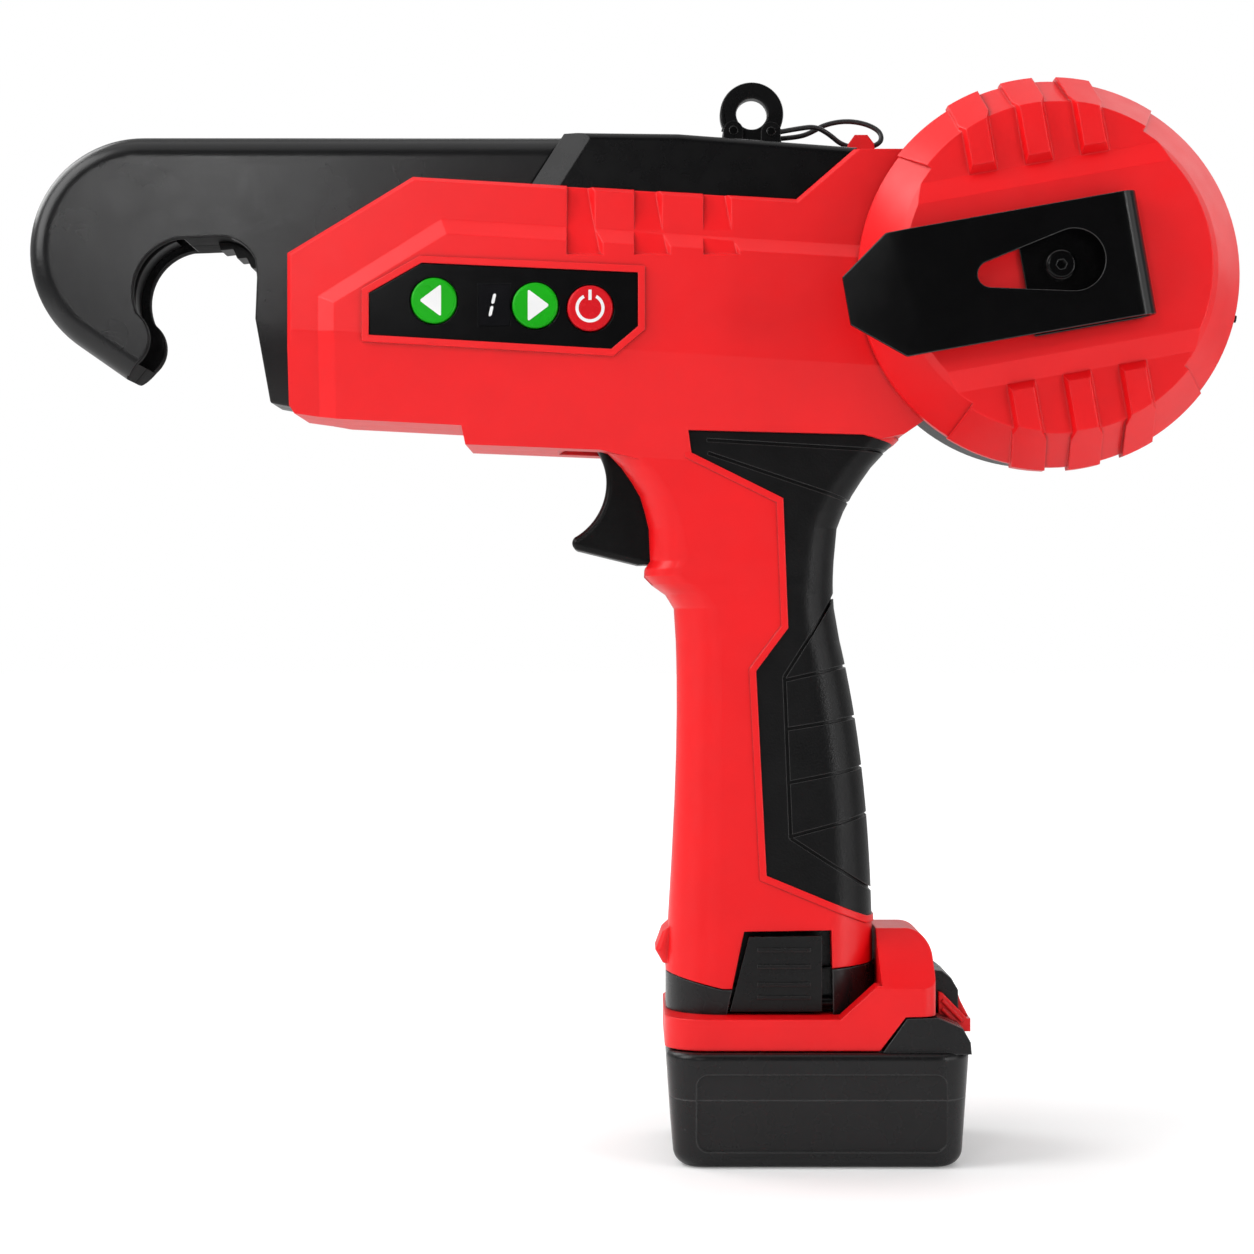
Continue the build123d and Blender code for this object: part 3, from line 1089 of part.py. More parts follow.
# Control panel plate with its legs
with BuildPart() as control_panel:
    prism(PANEL_OUTLINE, PANEL_BACK, PANEL_FRONT)
    for place in BUTTON_PLACES.values():
        disc(place, BUTTON_R + FIT, PANEL_BACK, PANEL_FRONT, Mode.SUBTRACT)
    with BuildSketch(side_plane(PANEL_BACK)):
        with Locations(DISPLAY_PLACE):
            Rectangle(*DISPLAY_SIZE)
    extrude(amount=PANEL_FRONT - PANEL_BACK, mode=Mode.SUBTRACT)
    for leg in PANEL_LEGS:
        disc(leg, PANEL_LEG_R, BOARD_FRONT, PANEL_BACK)
finish(control_panel.part, "control_panel")

with BuildPart() as display_window:
    with BuildSketch(side_plane(PANEL_BACK)):
        with Locations(DISPLAY_PLACE):
            Rectangle(*DISPLAY_SIZE)
    extrude(amount=PANEL_FRONT - PANEL_BACK)
finish(display_window.part, "display_window")

# Three push buttons, held behind the panel by their flanges
for button_name, place in BUTTON_PLACES.items():
    with BuildPart() as button:
        disc(place, BUTTON_FLANGE_R, BUTTON_BACK, BUTTON_FLANGE_FRONT)
        disc(place, BUTTON_R, BUTTON_FLANGE_FRONT, BUTTON_FRONT)
        fillet(button.edges().group_by(Axis.Y)[0], BUTTON_ROUNDING)
    finish(button.part, button_name)

# Control board behind the panel, with a tact switch under each button
with BuildPart() as control_board:
    block(BOARD_X, (BOARD_BACK, BOARD_FRONT), BOARD_Z)
    for place in BUTTON_PLACES.values():
        x_range = (place[0] - TACT_SWITCH, place[0] + TACT_SWITCH)
        z_range = (place[1] - TACT_SWITCH, place[1] + TACT_SWITCH)
        block(x_range, (BOARD_FRONT, TACT_SWITCH_FRONT), z_range)
finish(control_board.part, "control_board")

# Trigger blade with its concave front
with BuildPart() as trigger:
    with BuildSketch(side_plane(-TRIGGER_HALF)):
        with BuildLine():
            ThreePointArc(*TRIGGER_FRONT)
            ThreePointArc(*TRIGGER_TOE)
            Polyline(TRIGGER_TOE[2], *TRIGGER_SOLE, *TRIGGER_BACK, TRIGGER_FRONT[0])
        make_face()
    extrude(amount=2 * TRIGGER_HALF)
    side_edges = trigger.edges().filter_by(Axis.Y, reverse=True)
    front_edges = side_edges.filter_by(lambda edge: (edge @ 0.5).X < TRIGGER_SOLE[0][0] - OVERCUT)
    fillet(front_edges.filter_by(lambda edge: (edge @ 0.5).Z < TRIGGER_FRONT[1][1] + OVERCUT), TRIGGER_FILLET)
    disc(TRIGGER_PIVOT, TRIGGER_BOSS_R, -TRIGGER_HALF, TRIGGER_HALF)
    disc(TRIGGER_PIVOT, TRIGGER_PIN_R + RUNNING_FIT, -TRIGGER_HALF, TRIGGER_HALF, Mode.SUBTRACT)
finish(trigger.part, "trigger")

with BuildPart() as trigger_pin:
    disc(TRIGGER_PIVOT, TRIGGER_PIN_R, -HEAD_CAVITY_DEPTH, HEAD_CAVITY_DEPTH)
finish(trigger_pin.part, "trigger_pin")

with BuildPart() as trigger_switch:
    block(SWITCH_X, (-GRIP_CAVITY_DEPTH, GRIP_CAVITY_DEPTH), SWITCH_Z)
    block(SWITCH_PLUNGER_X, (-LEAF_HALF, LEAF_HALF), SWITCH_PLUNGER_Z)
finish(trigger_switch.part, "trigger_switch")

with BuildPart() as trigger_spring:
    prism(TRIGGER_SPRING, -LEAF_HALF, LEAF_HALF)
finish(trigger_spring.part, "trigger_spring")

# Hanger eye, its two pins and the tether
with BuildPart() as hanger_eye:
    prism(HANGER_FOOT, -HANGER_HALF, HANGER_HALF)
    disc(HANGER_EYE, HANGER_EYE_R, -HANGER_HALF, HANGER_HALF)
    disc(HANGER_EYE, HANGER_HOLE_R, -HANGER_HALF, HANGER_HALF, Mode.SUBTRACT)
    for pin in HANGER_PINS:
        disc(pin, HANGER_PIN_R, -HANGER_HALF, HANGER_HALF, Mode.SUBTRACT)
finish(hanger_eye.part, "hanger_eye")

with BuildPart() as hanger_pins:
    for pin in HANGER_PINS:
        disc(pin, HANGER_PIN_R, -HANGER_PIN_HALF, HANGER_PIN_HALF)
finish(hanger_pins.part, "hanger_pins")

with BuildPart() as tether:
    with BuildLine() as tether_path:
        FilletPolyline(*TETHER_ROUTE, radius=cord_radii(TETHER_ROUTE))
    with BuildSketch(Plane(origin=tether_path.line @ 0, z_dir=tether_path.line % 0)):
        Circle(TETHER_D / 2)
    sweep()
tether_length = tether_path.wires()[0].length
tether_share = tether.part.volume / (math.pi * TETHER_D**2 / 4 * tether_length)
print("tether length", round(tether_length, 1), "volume over section times length", round(tether_share, 3))
finish(tether.part, "tether")

# Collar between grip and dock, with the stem that plugs into the grip
with BuildPart() as base_collar:
    with BuildSketch(Plane.XY.offset(COLLAR_Z[0])):
        with Locations(((COLLAR_X[0] + COLLAR_X[1]) / 2, 0)):
            RectangleRounded(COLLAR_X[1] - COLLAR_X[0], 2 * COLLAR_HALF, COLLAR_CORNER)
    extrude(amount=COLLAR_Z[1] - COLLAR_Z[0])
    collar_rim = [(x, z - FIT) for x, z in SKIRT_EDGE]
    collar_foot = [(SKIRT_EDGE[-1][0], COLLAR_Z[0]), (SKIRT_EDGE[0][0], COLLAR_Z[0])]
    prism(collar_rim + collar_foot, -OUTSIDE, OUTSIDE, Mode.INTERSECT)
    for side in (-1, 1):
        prism(TAB_WINDOW, side * TAB_NOTCH_DEPTH, side * OUTSIDE, Mode.SUBTRACT)
        rod((side * TAB_PIVOT_DEPTH, TAB_PIVOT_Z), TAB_PIVOT_R + RUNNING_FIT, *TAB_PIVOT_X, Mode.SUBTRACT)
    block(STEM_X, (-STEM_HALF, STEM_HALF), (COLLAR_Z[0], STEM_TOP))
    chamfer(base_collar.faces().sort_by(Axis.Z)[-1].edges(), STEM_CHAMFER)
finish(base_collar.part, "base_collar")

# Release tabs, one on each side, hinged at the foot
for tab_name, side in (("release_tab_left", 1), ("release_tab_right", -1)):
    with BuildPart() as release_tab:
        prism(TAB_OUTLINE, side * TAB_BACK, side * TAB_FRONT)
        rib_depths = (side * TAB_FRONT, side * (TAB_FRONT + TAB_RIB_HEIGHT))
        for level in TAB_RIB_LEVELS:
            block(TAB_RIB_X, rib_depths, (level, level + TAB_RIB_WIDTH))
        rod((-side * TAB_PIVOT_DEPTH, TAB_PIVOT_Z), TAB_PIVOT_R, *TAB_PIVOT_X)
        knuckle_z = (TAB_PIVOT_Z - TAB_PIVOT_R, TAB_PIVOT_Z + TAB_PIVOT_R)
        block(TAB_KNUCKLE_X, (side * TAB_PIVOT_DEPTH, side * TAB_BACK), knuckle_z)
    finish(release_tab.part, tab_name)

# Battery dock with its hump, roof and rail grooves
with BuildPart() as battery_dock:
    prism(DOCK_OUTLINE, -DOCK_HALF, DOCK_HALF)
    upright_edges = battery_dock.edges().filter_by(Axis.Z)
    fillet(upright_edges.group_by(Axis.X)[-1], DOCK_REAR_CORNER)
    rear_top = battery_dock.edges().filter_by(Axis.Y).group_by(Axis.Z)[-1].sort_by(Axis.X)[-1]
    fillet(rear_top, DOCK_REAR_ROUNDING)
    for side in (-1, 1):
        prism(DOCK_RAMP, side * DOCK_RAMP_DEPTHS[0], side * DOCK_RAMP_DEPTHS[1])
    for side in (-1, 1):
        with BuildSketch(Plane.YZ) as roof_face:
            with BuildLine():
                Polyline(*[(side * out, height) for out, height in DOCK_ROOF], close=True)
            make_face()
        extrude(roof_face.sketch, amount=DOCK_ROOF_REACH, mode=Mode.SUBTRACT)
    front_corners = battery_dock.edges().filter_by(Axis.Z).group_by(Axis.X)[0]
    fillet(front_corners, DOCK_CORNER)
    for side in (-1, 1):
        depths = (side * (RAIL_DEPTHS[0] - RAIL_PLAY), side * (RAIL_DEPTHS[1] + RAIL_PLAY))
        block(RAIL_GROOVE_X, depths, (DOCK_UNDERSIDE, RAIL_TOP + RAIL_PLAY), Mode.SUBTRACT)
    block(DOCK_SLOT_X, (-DOCK_SLOT_HALF, DOCK_SLOT_HALF), (DOCK_UNDERSIDE, DOCK_SLOT_TOP), Mode.SUBTRACT)
finish(battery_dock.part, "battery_dock")

with BuildPart() as dock_terminals:
    for depth in TERMINAL_DEPTHS:
        for side in (-1, 1):
            leaf = depth + side * (TERMINAL_HALF + BATTERY_TERMINAL_GAP)
            block(DOCK_TERMINAL_X, (leaf, leaf + side * TERMINAL_HALF), DOCK_TERMINAL_Z)
finish(dock_terminals.part, "dock_terminals")

# Battery shell: drawn in towards the foot, with a sunk panel on each side
battery_draft = math.radians(BATTERY_TAPER)
panel_mid = (sum(BATTERY_PANEL_X) / 2, sum(BATTERY_PANEL_Z) / 2)
panel_y = BATTERY_HALF - (BATTERY_TOP_Z - panel_mid[1]) * math.tan(battery_draft)
with BuildPart() as battery_shell:
    with BuildSketch(Plane(origin=(0, 0, BATTERY_TOP_Z), x_dir=(1, 0, 0), z_dir=(0, 0, -1))):
        with Locations((sum(BATTERY_X) / 2, 0)):
            RectangleRounded(BATTERY_X[1] - BATTERY_X[0], 2 * BATTERY_HALF, BATTERY_CORNER)
    extrude(amount=BATTERY_TOP_Z, taper=BATTERY_TAPER)
    fillet(battery_shell.faces().sort_by(Axis.Z)[0].edges(), BATTERY_FOOT_ROUNDING)
    fillet(battery_shell.faces().sort_by(Axis.Z)[-1].edges(), BATTERY_TOP_ROUNDING)
    for side in (-1, 1):
        panel_plane = Plane(
            origin=(panel_mid[0], side * panel_y, panel_mid[1]),
            x_dir=(1, 0, 0),
            z_dir=(0, side * math.cos(battery_draft), -math.sin(battery_draft)),
        )
        with BuildSketch(panel_plane) as side_panel:
            RectangleRounded(
                BATTERY_PANEL_X[1] - BATTERY_PANEL_X[0],
                BATTERY_PANEL_Z[1] - BATTERY_PANEL_Z[0],
                BATTERY_PANEL_CORNER,
            )
        extrude(side_panel.sketch, amount=-BATTERY_PANEL_RECESS, mode=Mode.SUBTRACT)

# Lower case with its cells
with BuildPart() as battery_lower_case:
    add(battery_shell.part)
    split(bisect_by=Plane.XY.offset(BATTERY_SEAM_Z), keep=Keep.BOTTOM)
    for column in CELL_COLUMNS:
        disc((column, CELL_Z), CELL_R, -CELL_HALF, CELL_HALF, Mode.SUBTRACT)
finish(battery_lower_case.part, "battery_lower_case")

with BuildPart() as battery_cells:
    for column in CELL_COLUMNS:
        disc((column, CELL_Z), CELL_R, -CELL_HALF, CELL_HALF)
finish(battery_cells.part, "battery_cells")

# Upper case with its rails, rear block and latch pocket
with BuildPart() as battery_upper_case:
    add(battery_shell.part)
    split(bisect_by=Plane.XY.offset(BATTERY_SEAM_Z), keep=Keep.TOP)
    for side in (-1, 1):
        block(RAIL_X, (side * RAIL_DEPTHS[0], side * RAIL_DEPTHS[1]), (RAIL_FOOT, RAIL_TOP))
    prism(BATTERY_BLOCK, -BATTERY_BLOCK_HALF, BATTERY_BLOCK_HALF)
    prism(BATTERY_HUMP, -BATTERY_HUMP_HALF, BATTERY_HUMP_HALF)
    block(LATCH_POCKET_X, (-LATCH_HALF - FIT, LATCH_HALF + FIT), LATCH_POCKET_Z, Mode.SUBTRACT)
    for side in (-1, 1):
        cheek_depths = (side * CHEEK_POCKET_DEPTHS[0], side * CHEEK_POCKET_DEPTHS[1])
        block(CHEEK_POCKET_X, cheek_depths, LATCH_POCKET_Z, Mode.SUBTRACT)
    block(BAR_POCKET_X, (-CHEEK_POCKET_DEPTHS[1], CHEEK_POCKET_DEPTHS[1]), LATCH_POCKET_Z, Mode.SUBTRACT)
    for column in CELL_COLUMNS:
        disc((column, CELL_Z), CELL_R, -CELL_HALF, CELL_HALF, Mode.SUBTRACT)
    for depth in TERMINAL_DEPTHS:
        sides = (depth - TERMINAL_HALF, depth + TERMINAL_HALF)
        block(BATTERY_TERMINAL_X, sides, BATTERY_TERMINAL_Z, Mode.SUBTRACT)
finish(battery_upper_case.part, "battery_upper_case")

with BuildPart() as battery_terminals:
    for depth in TERMINAL_DEPTHS:
        block(BATTERY_TERMINAL_X, (depth - TERMINAL_HALF, depth + TERMINAL_HALF), BATTERY_TERMINAL_Z)
finish(battery_terminals.part, "battery_terminals")

# Latch on the rear of the battery: a button, and a ribbed cheek on each side of the hump
with BuildPart() as battery_latch:
    prism(LATCH_OUTLINE, -LATCH_HALF, LATCH_HALF)
    block(LATCH_BAR_X, (-LATCH_CHEEK_DEPTHS[1], LATCH_CHEEK_DEPTHS[1]), LATCH_BAR_Z)
    for side in (-1, 1):
        prism(LATCH_CHEEK, side * LATCH_CHEEK_DEPTHS[0], side * LATCH_CHEEK_DEPTHS[1])
        rib_depths = (side * LATCH_CHEEK_DEPTHS[1], side * (LATCH_CHEEK_DEPTHS[1] + LATCH_RIB_HEIGHT))
        for start in LATCH_RIB_STARTS:
            rib_end = (start[0] + LATCH_RIB_RUN[0], start[1] + LATCH_RIB_RUN[1])
            strip(start, rib_end, LATCH_RIB_WIDTH, rib_depths)
finish(battery_latch.part, "battery_latch")

with BuildPart() as latch_spring:
    prism(LATCH_SPRING_OUTLINE, -LEAF_HALF, LEAF_HALF)
finish(latch_spring.part, "latch_spring")

# Twister: motor, gearbox, cradle, shaft, bush and slotted head
with BuildPart() as twist_motor:
    rod((0, TWIST_Z), TWIST_MOTOR_R, *TWIST_MOTOR_X)
    rod((0, TWIST_Z), TWIST_SHAFT_R, TWIST_MOTOR_X[1], TWIST_MOTOR_X[1] + TWIST_TAIL)
    chamfer(twist_motor.edges().filter_by(GeomType.CIRCLE).sort_by(Axis.X)[-3:-2], MOTOR_CHAMFER)
finish(twist_motor.part, "twist_motor")

with BuildPart() as twist_gearbox:
    rod((0, TWIST_Z), TWIST_GEARBOX_R, *TWIST_GEARBOX_X)
    chamfer(twist_gearbox.edges().filter_by(GeomType.CIRCLE), MOTOR_CHAMFER)
finish(twist_gearbox.part, "twist_gearbox")

with BuildPart() as chassis:
    block(CHASSIS_X, (-HEAD_CAVITY_DEPTH, HEAD_CAVITY_DEPTH), CHASSIS_Z)
    rod((0, TWIST_Z), TWIST_MOTOR_R, *TWIST_MOTOR_X, Mode.SUBTRACT)
    rod((0, TWIST_Z), TWIST_MOTOR_R, TWIST_MOTOR_X[1], CHASSIS_X[1], Mode.SUBTRACT)
    rod((0, TWIST_Z), TWIST_GEARBOX_R, CHASSIS_X[0], TWIST_GEARBOX_X[1], Mode.SUBTRACT)
finish(chassis.part, "chassis")

with BuildPart() as twister:
    rod((0, TWIST_Z), TWIST_SHAFT_R, *TWIST_SHAFT_X)
    rod((0, TWIST_Z), TWIST_HEAD_R, *TWIST_HEAD_X)
    slot_x = (TWIST_HEAD_X[0] - OVERCUT, TWIST_HEAD_X[0] + TWIST_SLOT_DEPTH)
    slot_z = (TWIST_Z - TWIST_SLOT_REACH, TWIST_Z + TWIST_SLOT_REACH)
    block(slot_x, (-TWIST_SLOT_HALF, TWIST_SLOT_HALF), slot_z, Mode.SUBTRACT)
finish(twister.part, "twister")

with BuildPart() as twister_bush:
    rod((0, TWIST_Z), TWIST_HOLE_R, *TWIST_BUSH_X)
    rod((0, TWIST_Z), TWIST_SHAFT_R + RUNNING_FIT, *TWIST_BUSH_X, Mode.SUBTRACT)
finish(twister_bush.part, "twister_bush")

# Wire feed
with BuildPart() as feed_roller:
    disc(FEED_AXIS, FEED_AXLE_R, -FEED_PLATE_DEPTHS[1], FEED_PLATE_DEPTHS[1])
    disc(FEED_AXIS, FEED_ROLLER_R, -FEED_ROLLER_HALF, FEED_ROLLER_HALF)
    disc(FEED_AXIS, FEED_SHOULDER_R, FEED_ROLLER_HALF, GEAR_DEPTHS[0])
finish(feed_roller.part, "feed_roller")

with BuildPart() as feed_gear:
    gear(FEED_AXIS, GEAR_TEETH, 0.0, GEAR_DEPTHS)
    disc(FEED_AXIS, FEED_AXLE_R, *GEAR_DEPTHS, Mode.SUBTRACT)
finish(feed_gear.part, "feed_gear")

with BuildPart() as feed_pinion:
    gear(FEED_MOTOR_AXIS, PINION_TEETH, 180.0 / PINION_TEETH, GEAR_DEPTHS)
    disc(FEED_MOTOR_AXIS, FEED_MOTOR_SHAFT_R + RUNNING_FIT, *GEAR_DEPTHS, Mode.SUBTRACT)
finish(feed_pinion.part, "feed_pinion")

with BuildPart() as feed_motor:
    disc(FEED_MOTOR_AXIS, FEED_MOTOR_R, *FEED_MOTOR_DEPTHS)
    disc(FEED_MOTOR_AXIS, FEED_MOTOR_SHAFT_R, FEED_MOTOR_DEPTHS[1], FEED_PLATE_DEPTHS[0])
finish(feed_motor.part, "feed_motor")

with BuildPart() as feed_plate:
    for side in (-1, 1):
        depths = (side * FEED_PLATE_DEPTHS[0], side * FEED_PLATE_DEPTHS[1])
        prism(FEED_PLATE_OUTLINE, *depths)
    block(FEED_BRIDGE_X, (-FACE_CAVITY_DEPTH, FACE_CAVITY_DEPTH), FEED_BRIDGE_Z)
    disc(FEED_AXIS, FEED_AXLE_R + RUNNING_FIT, -FEED_BORE_DEPTH, FEED_BORE_DEPTH, Mode.SUBTRACT)
    disc(FEED_MOTOR_AXIS, FEED_MOTOR_R, -FEED_BORE_DEPTH, 0, Mode.SUBTRACT)
finish(feed_plate.part, "feed_plate")

with BuildPart() as pinch_roller:
    disc(PINCH_AXIS, PINCH_ROLLER_R, -FEED_ROLLER_HALF, FEED_ROLLER_HALF)
    disc(PINCH_AXIS, PINCH_AXLE_R, -PINCH_ARM_DEPTHS[1], PINCH_ARM_DEPTHS[1])
finish(pinch_roller.part, "pinch_roller")

with BuildPart() as pinch_arm:
    for side in (-1, 1):
        prism(PINCH_ARM_OUTLINE, side * PINCH_ARM_DEPTHS[0], side * PINCH_ARM_DEPTHS[1])
    block(PINCH_BRIDGE_X, (-PINCH_ARM_DEPTHS[0], PINCH_ARM_DEPTHS[0]), PINCH_BRIDGE_Z)
    disc(PINCH_PIVOT, PINCH_PIN_R + RUNNING_FIT, -FEED_BORE_DEPTH, FEED_BORE_DEPTH, Mode.SUBTRACT)
    disc(PINCH_AXIS, PINCH_AXLE_R + RUNNING_FIT, -FEED_BORE_DEPTH, FEED_BORE_DEPTH, Mode.SUBTRACT)
finish(pinch_arm.part, "pinch_arm")

with BuildPart() as pinch_pin:
    disc(PINCH_PIVOT, PINCH_PIN_R, -TOP_COVER_CAVITY_HALF, TOP_COVER_CAVITY_HALF)
finish(pinch_pin.part, "pinch_pin")

with BuildPart() as pinch_spring:
    prism(PINCH_SPRING, -LEAF_HALF, LEAF_HALF)
finish(pinch_spring.part, "pinch_spring")

# Wire way: inlet from the drum, conduit to the hook, nozzle and cutter at the throat
with BuildPart() as wire_inlet_tube:
    rod((0, WIRE_Z), WIRE_TUBE_R, *INLET_X)
    rod((0, WIRE_Z), INLET_BORE_R, *INLET_X, Mode.SUBTRACT)
finish(wire_inlet_tube.part, "wire_inlet_tube")

with BuildPart() as wire_conduit:
    with BuildLine() as conduit_path:
        FilletPolyline(*CONDUIT_ROUTE, radius=CONDUIT_BENDS)
    with BuildSketch(Plane(origin=conduit_path.line @ 0, z_dir=conduit_path.line % 0)):
        Circle(CONDUIT_R)
    sweep()
finish(wire_conduit.part, "wire_conduit")

with BuildPart() as wire_nozzle:
    prism(NOZZLE_OUTLINE, -NOZZLE_HALF, NOZZLE_HALF)
    add(hook_shell_left.part, mode=Mode.SUBTRACT)
    add(hook_shell_right.part, mode=Mode.SUBTRACT)
finish(wire_nozzle.part, "wire_nozzle")

with BuildPart() as cutter_blade:
    prism(CUTTER_OUTLINE, -CUTTER_HALF, CUTTER_HALF)
finish(cutter_blade.part, "cutter_blade")

# Main board in the grip
with BuildPart() as main_board:
    block(MAIN_BOARD_X, (-MAIN_BOARD_HALF, MAIN_BOARD_HALF), MAIN_BOARD_Z)
    for post in MAIN_BOARD_POSTS:
        disc(post, MAIN_BOARD_POST_R, -GRIP_CAVITY_DEPTH, GRIP_CAVITY_DEPTH)
    block(HEAT_SINK_X, (MAIN_BOARD_HALF, HEAT_SINK_DEPTH), HEAT_SINK_Z)
finish(main_board.part, "main_board")
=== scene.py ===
"""Electric vine tying tool: finishes, rounded edges, panel marks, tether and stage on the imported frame."""

import json
import math

import bmesh
import bpy
from mathutils import Matrix, Vector

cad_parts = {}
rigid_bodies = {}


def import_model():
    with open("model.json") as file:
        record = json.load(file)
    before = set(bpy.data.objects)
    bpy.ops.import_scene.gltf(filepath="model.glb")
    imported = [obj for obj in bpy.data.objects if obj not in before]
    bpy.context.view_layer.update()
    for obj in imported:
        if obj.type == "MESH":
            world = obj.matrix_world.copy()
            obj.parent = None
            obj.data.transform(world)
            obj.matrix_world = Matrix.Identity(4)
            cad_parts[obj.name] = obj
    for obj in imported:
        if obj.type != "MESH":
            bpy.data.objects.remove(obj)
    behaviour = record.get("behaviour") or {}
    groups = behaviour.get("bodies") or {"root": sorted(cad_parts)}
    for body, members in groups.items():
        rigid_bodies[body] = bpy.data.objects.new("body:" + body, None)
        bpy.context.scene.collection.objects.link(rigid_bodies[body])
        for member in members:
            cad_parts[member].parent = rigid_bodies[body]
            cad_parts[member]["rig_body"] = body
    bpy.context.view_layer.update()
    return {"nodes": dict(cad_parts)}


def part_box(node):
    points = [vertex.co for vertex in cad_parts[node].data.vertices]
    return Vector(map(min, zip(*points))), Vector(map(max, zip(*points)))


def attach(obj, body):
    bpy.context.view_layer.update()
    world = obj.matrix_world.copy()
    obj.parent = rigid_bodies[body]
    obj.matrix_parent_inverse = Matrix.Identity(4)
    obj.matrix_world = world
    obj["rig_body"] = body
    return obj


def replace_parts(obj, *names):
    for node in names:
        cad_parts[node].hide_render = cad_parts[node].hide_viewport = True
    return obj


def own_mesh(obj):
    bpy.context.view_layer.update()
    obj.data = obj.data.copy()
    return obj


bl_info = {
    "name": "Vine Tying Tool",
    "version": (1, 0, 0),
    "blender": (4, 5, 0),
    "location": "View3D > Sidebar > Vine Tool",
    "description": "Finishes the shells, panel, reel, grip, battery and tether of a vine tying tool",
    "category": "Object",
}

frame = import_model()

MM = 0.001
WELD = 0.002 * MM

# Corners of the box round the hook's throat and tip, in millimetres
THROAT_BOX = ((-210.0, -20.0, 215.0), (-160.0, 20.0, 276.0))

# Tether route in millimetres, from the near ear round through the lug to the far ear
TETHER_ROUTE = [
    (-9.3, -3.9, 303.8), (-3.4, -3.9, 304.9), (1.4, -3.3, 305.5), (5.4, -1.8, 303.6), (9.4, -0.4, 300.5),
    (14.2, 0.0, 299.7), (18.6, 0.2, 300.0), (21.6, 1.2, 301.9), (21.2, 2.6, 305.2), (16.8, 3.5, 307.7),
    (10.8, 3.9, 308.6), (4.6, 4.2, 307.5), (0.6, 4.1, 305.1), (-3.4, 3.9, 303.6), (-9.3, 3.9, 303.2),
]

# Arrow on a count button, as (x, z) from the button's middle, in millimetres
ARROW = [(-2.1, 4.7), (-2.1, -4.7), (4.2, 0.0)]

# One bar of the display digit, as (x, z) from its foot, and the digit's shift along the tool, in millimetres
DIGIT_BAR = [(-0.45, 0.4), (0.0, 0.0), (0.45, 0.4), (0.45, 2.7), (0.0, 3.1), (-0.45, 2.7)]
DIGIT_SHIFT = -0.5
DIGIT_SLANT = 0.22

# Wrapped cells: how many, how much shorter than their bores at each end, and the rounding of their rims
CELL_COUNT = 4
CELL_END_GAP = 2.0 * MM
CELL_RIM = 1.2 * MM

# Camera in front of the left side, and the point that the lamps look at
CAMERA_PLACE = Vector((-55.0, -800.0, 156.0)) * MM
SENSOR_WIDTH = 36.0
LENS = 76.55
LAMP_AIM = Vector((-30.0, 0.0, 190.0)) * MM

# Softboxes: name, place and size in metres, power in watts
SOFTBOXES = (
    ("key_softbox", (-0.34, -1.00, 0.50), (0.12, 0.22), 1.15),
    ("left_softbox", (-0.90, -0.36, 0.76), (0.6, 0.9), 8.5),
    ("side_softbox", (-0.80, 0.45, 0.80), (0.6, 0.6), 4.0),
    ("right_softbox", (1.00, -0.50, 0.35), (0.7, 0.7), 3.0),
    ("edge_strip", (0.72, -0.72, 0.30), (0.05, 0.8), 2.0),
    ("top_softbox", (0.0, -0.1, 1.15), (1.2, 0.9), 3.2),
    ("rear_softbox", (0.40, 0.9, 0.75), (1.4, 0.8), 3.4),
)

# Fill light that gloss doesn't mirror
FRONT_FILL = ("front_fill", (0.0, -1.3, 0.5), (1.6, 1.0), 1.6)


def colour_choice(name, description, default):
    return bpy.props.FloatVectorProperty(
        name=name, description=description, default=default, subtype="COLOR", size=3, min=0, max=1,
    )


def length_choice(name, description, default):
    return bpy.props.FloatProperty(
        name=name, description=description, default=default, unit="LENGTH", subtype="DISTANCE", min=0,
    )


class ToolColours(bpy.types.PropertyGroup):
    """Colours of the moulded and coated pieces."""

    shell_red: colour_choice("Shell Red", "Red of the housing, lid and dock", (0.78, 0.0035, 0.0065))
    shell_black: colour_choice("Shell Black", "Black of the hook, drum and battery", (0.008, 0.008, 0.0084))
    button_green: colour_choice("Button Green", "Green of the two count buttons", (0.006, 0.36, 0.005))
    wire_green: colour_choice("Wire Green", "Coating of the tying wire on the spool", (0.05, 0.22, 0.05))


class ToolSizes(bpy.types.PropertyGroup):
    """Sizes of the roundings, marks, tether and wire."""

    shell_edge: length_choice("Shell Edge", "Rounding of the large shells' edges", 0.6 * MM)
    small_edge: length_choice("Small Edge", "Rounding of edges on small pieces", 0.35 * MM)
    leaf_edge: length_choice("Leaf Edge", "Rounding of the thin leaf springs", 0.12 * MM)
    mark_height: length_choice("Mark Height", "Thickness of the printed button marks", 0.06 * MM)
    tether_diameter: length_choice("Tether Diameter", "Diameter of the coated tether", 1.5 * MM)
    wire_diameter: length_choice("Wire Diameter", "Diameter of the coated tying wire", 1.5 * MM)


def colours():
    return bpy.context.scene.vine_colours


def sizes():
    return bpy.context.scene.vine_sizes


# Finishes
def shade(tree, kind, **sockets):
    """New shader node with the named sockets set."""
    node = tree.nodes.new(kind)
    for socket, value in sockets.items():
        node.inputs[socket.replace("_", " ")].default_value = value
    return node


def patch_noise(tree, scale, detail, low, high):
    """Noise on object coordinates, mapped from low to high."""
    coords = tree.nodes.new("ShaderNodeTexCoord")
    noise = shade(tree, "ShaderNodeTexNoise", Scale=scale, Detail=detail)
    spread = shade(tree, "ShaderNodeMapRange", From_Min=0.3, From_Max=0.7, To_Min=low, To_Max=high)
    tree.links.new(coords.outputs["Object"], noise.inputs["Vector"])
    tree.links.new(noise.outputs["Fac"], spread.inputs["Value"])
    return spread.outputs["Result"]


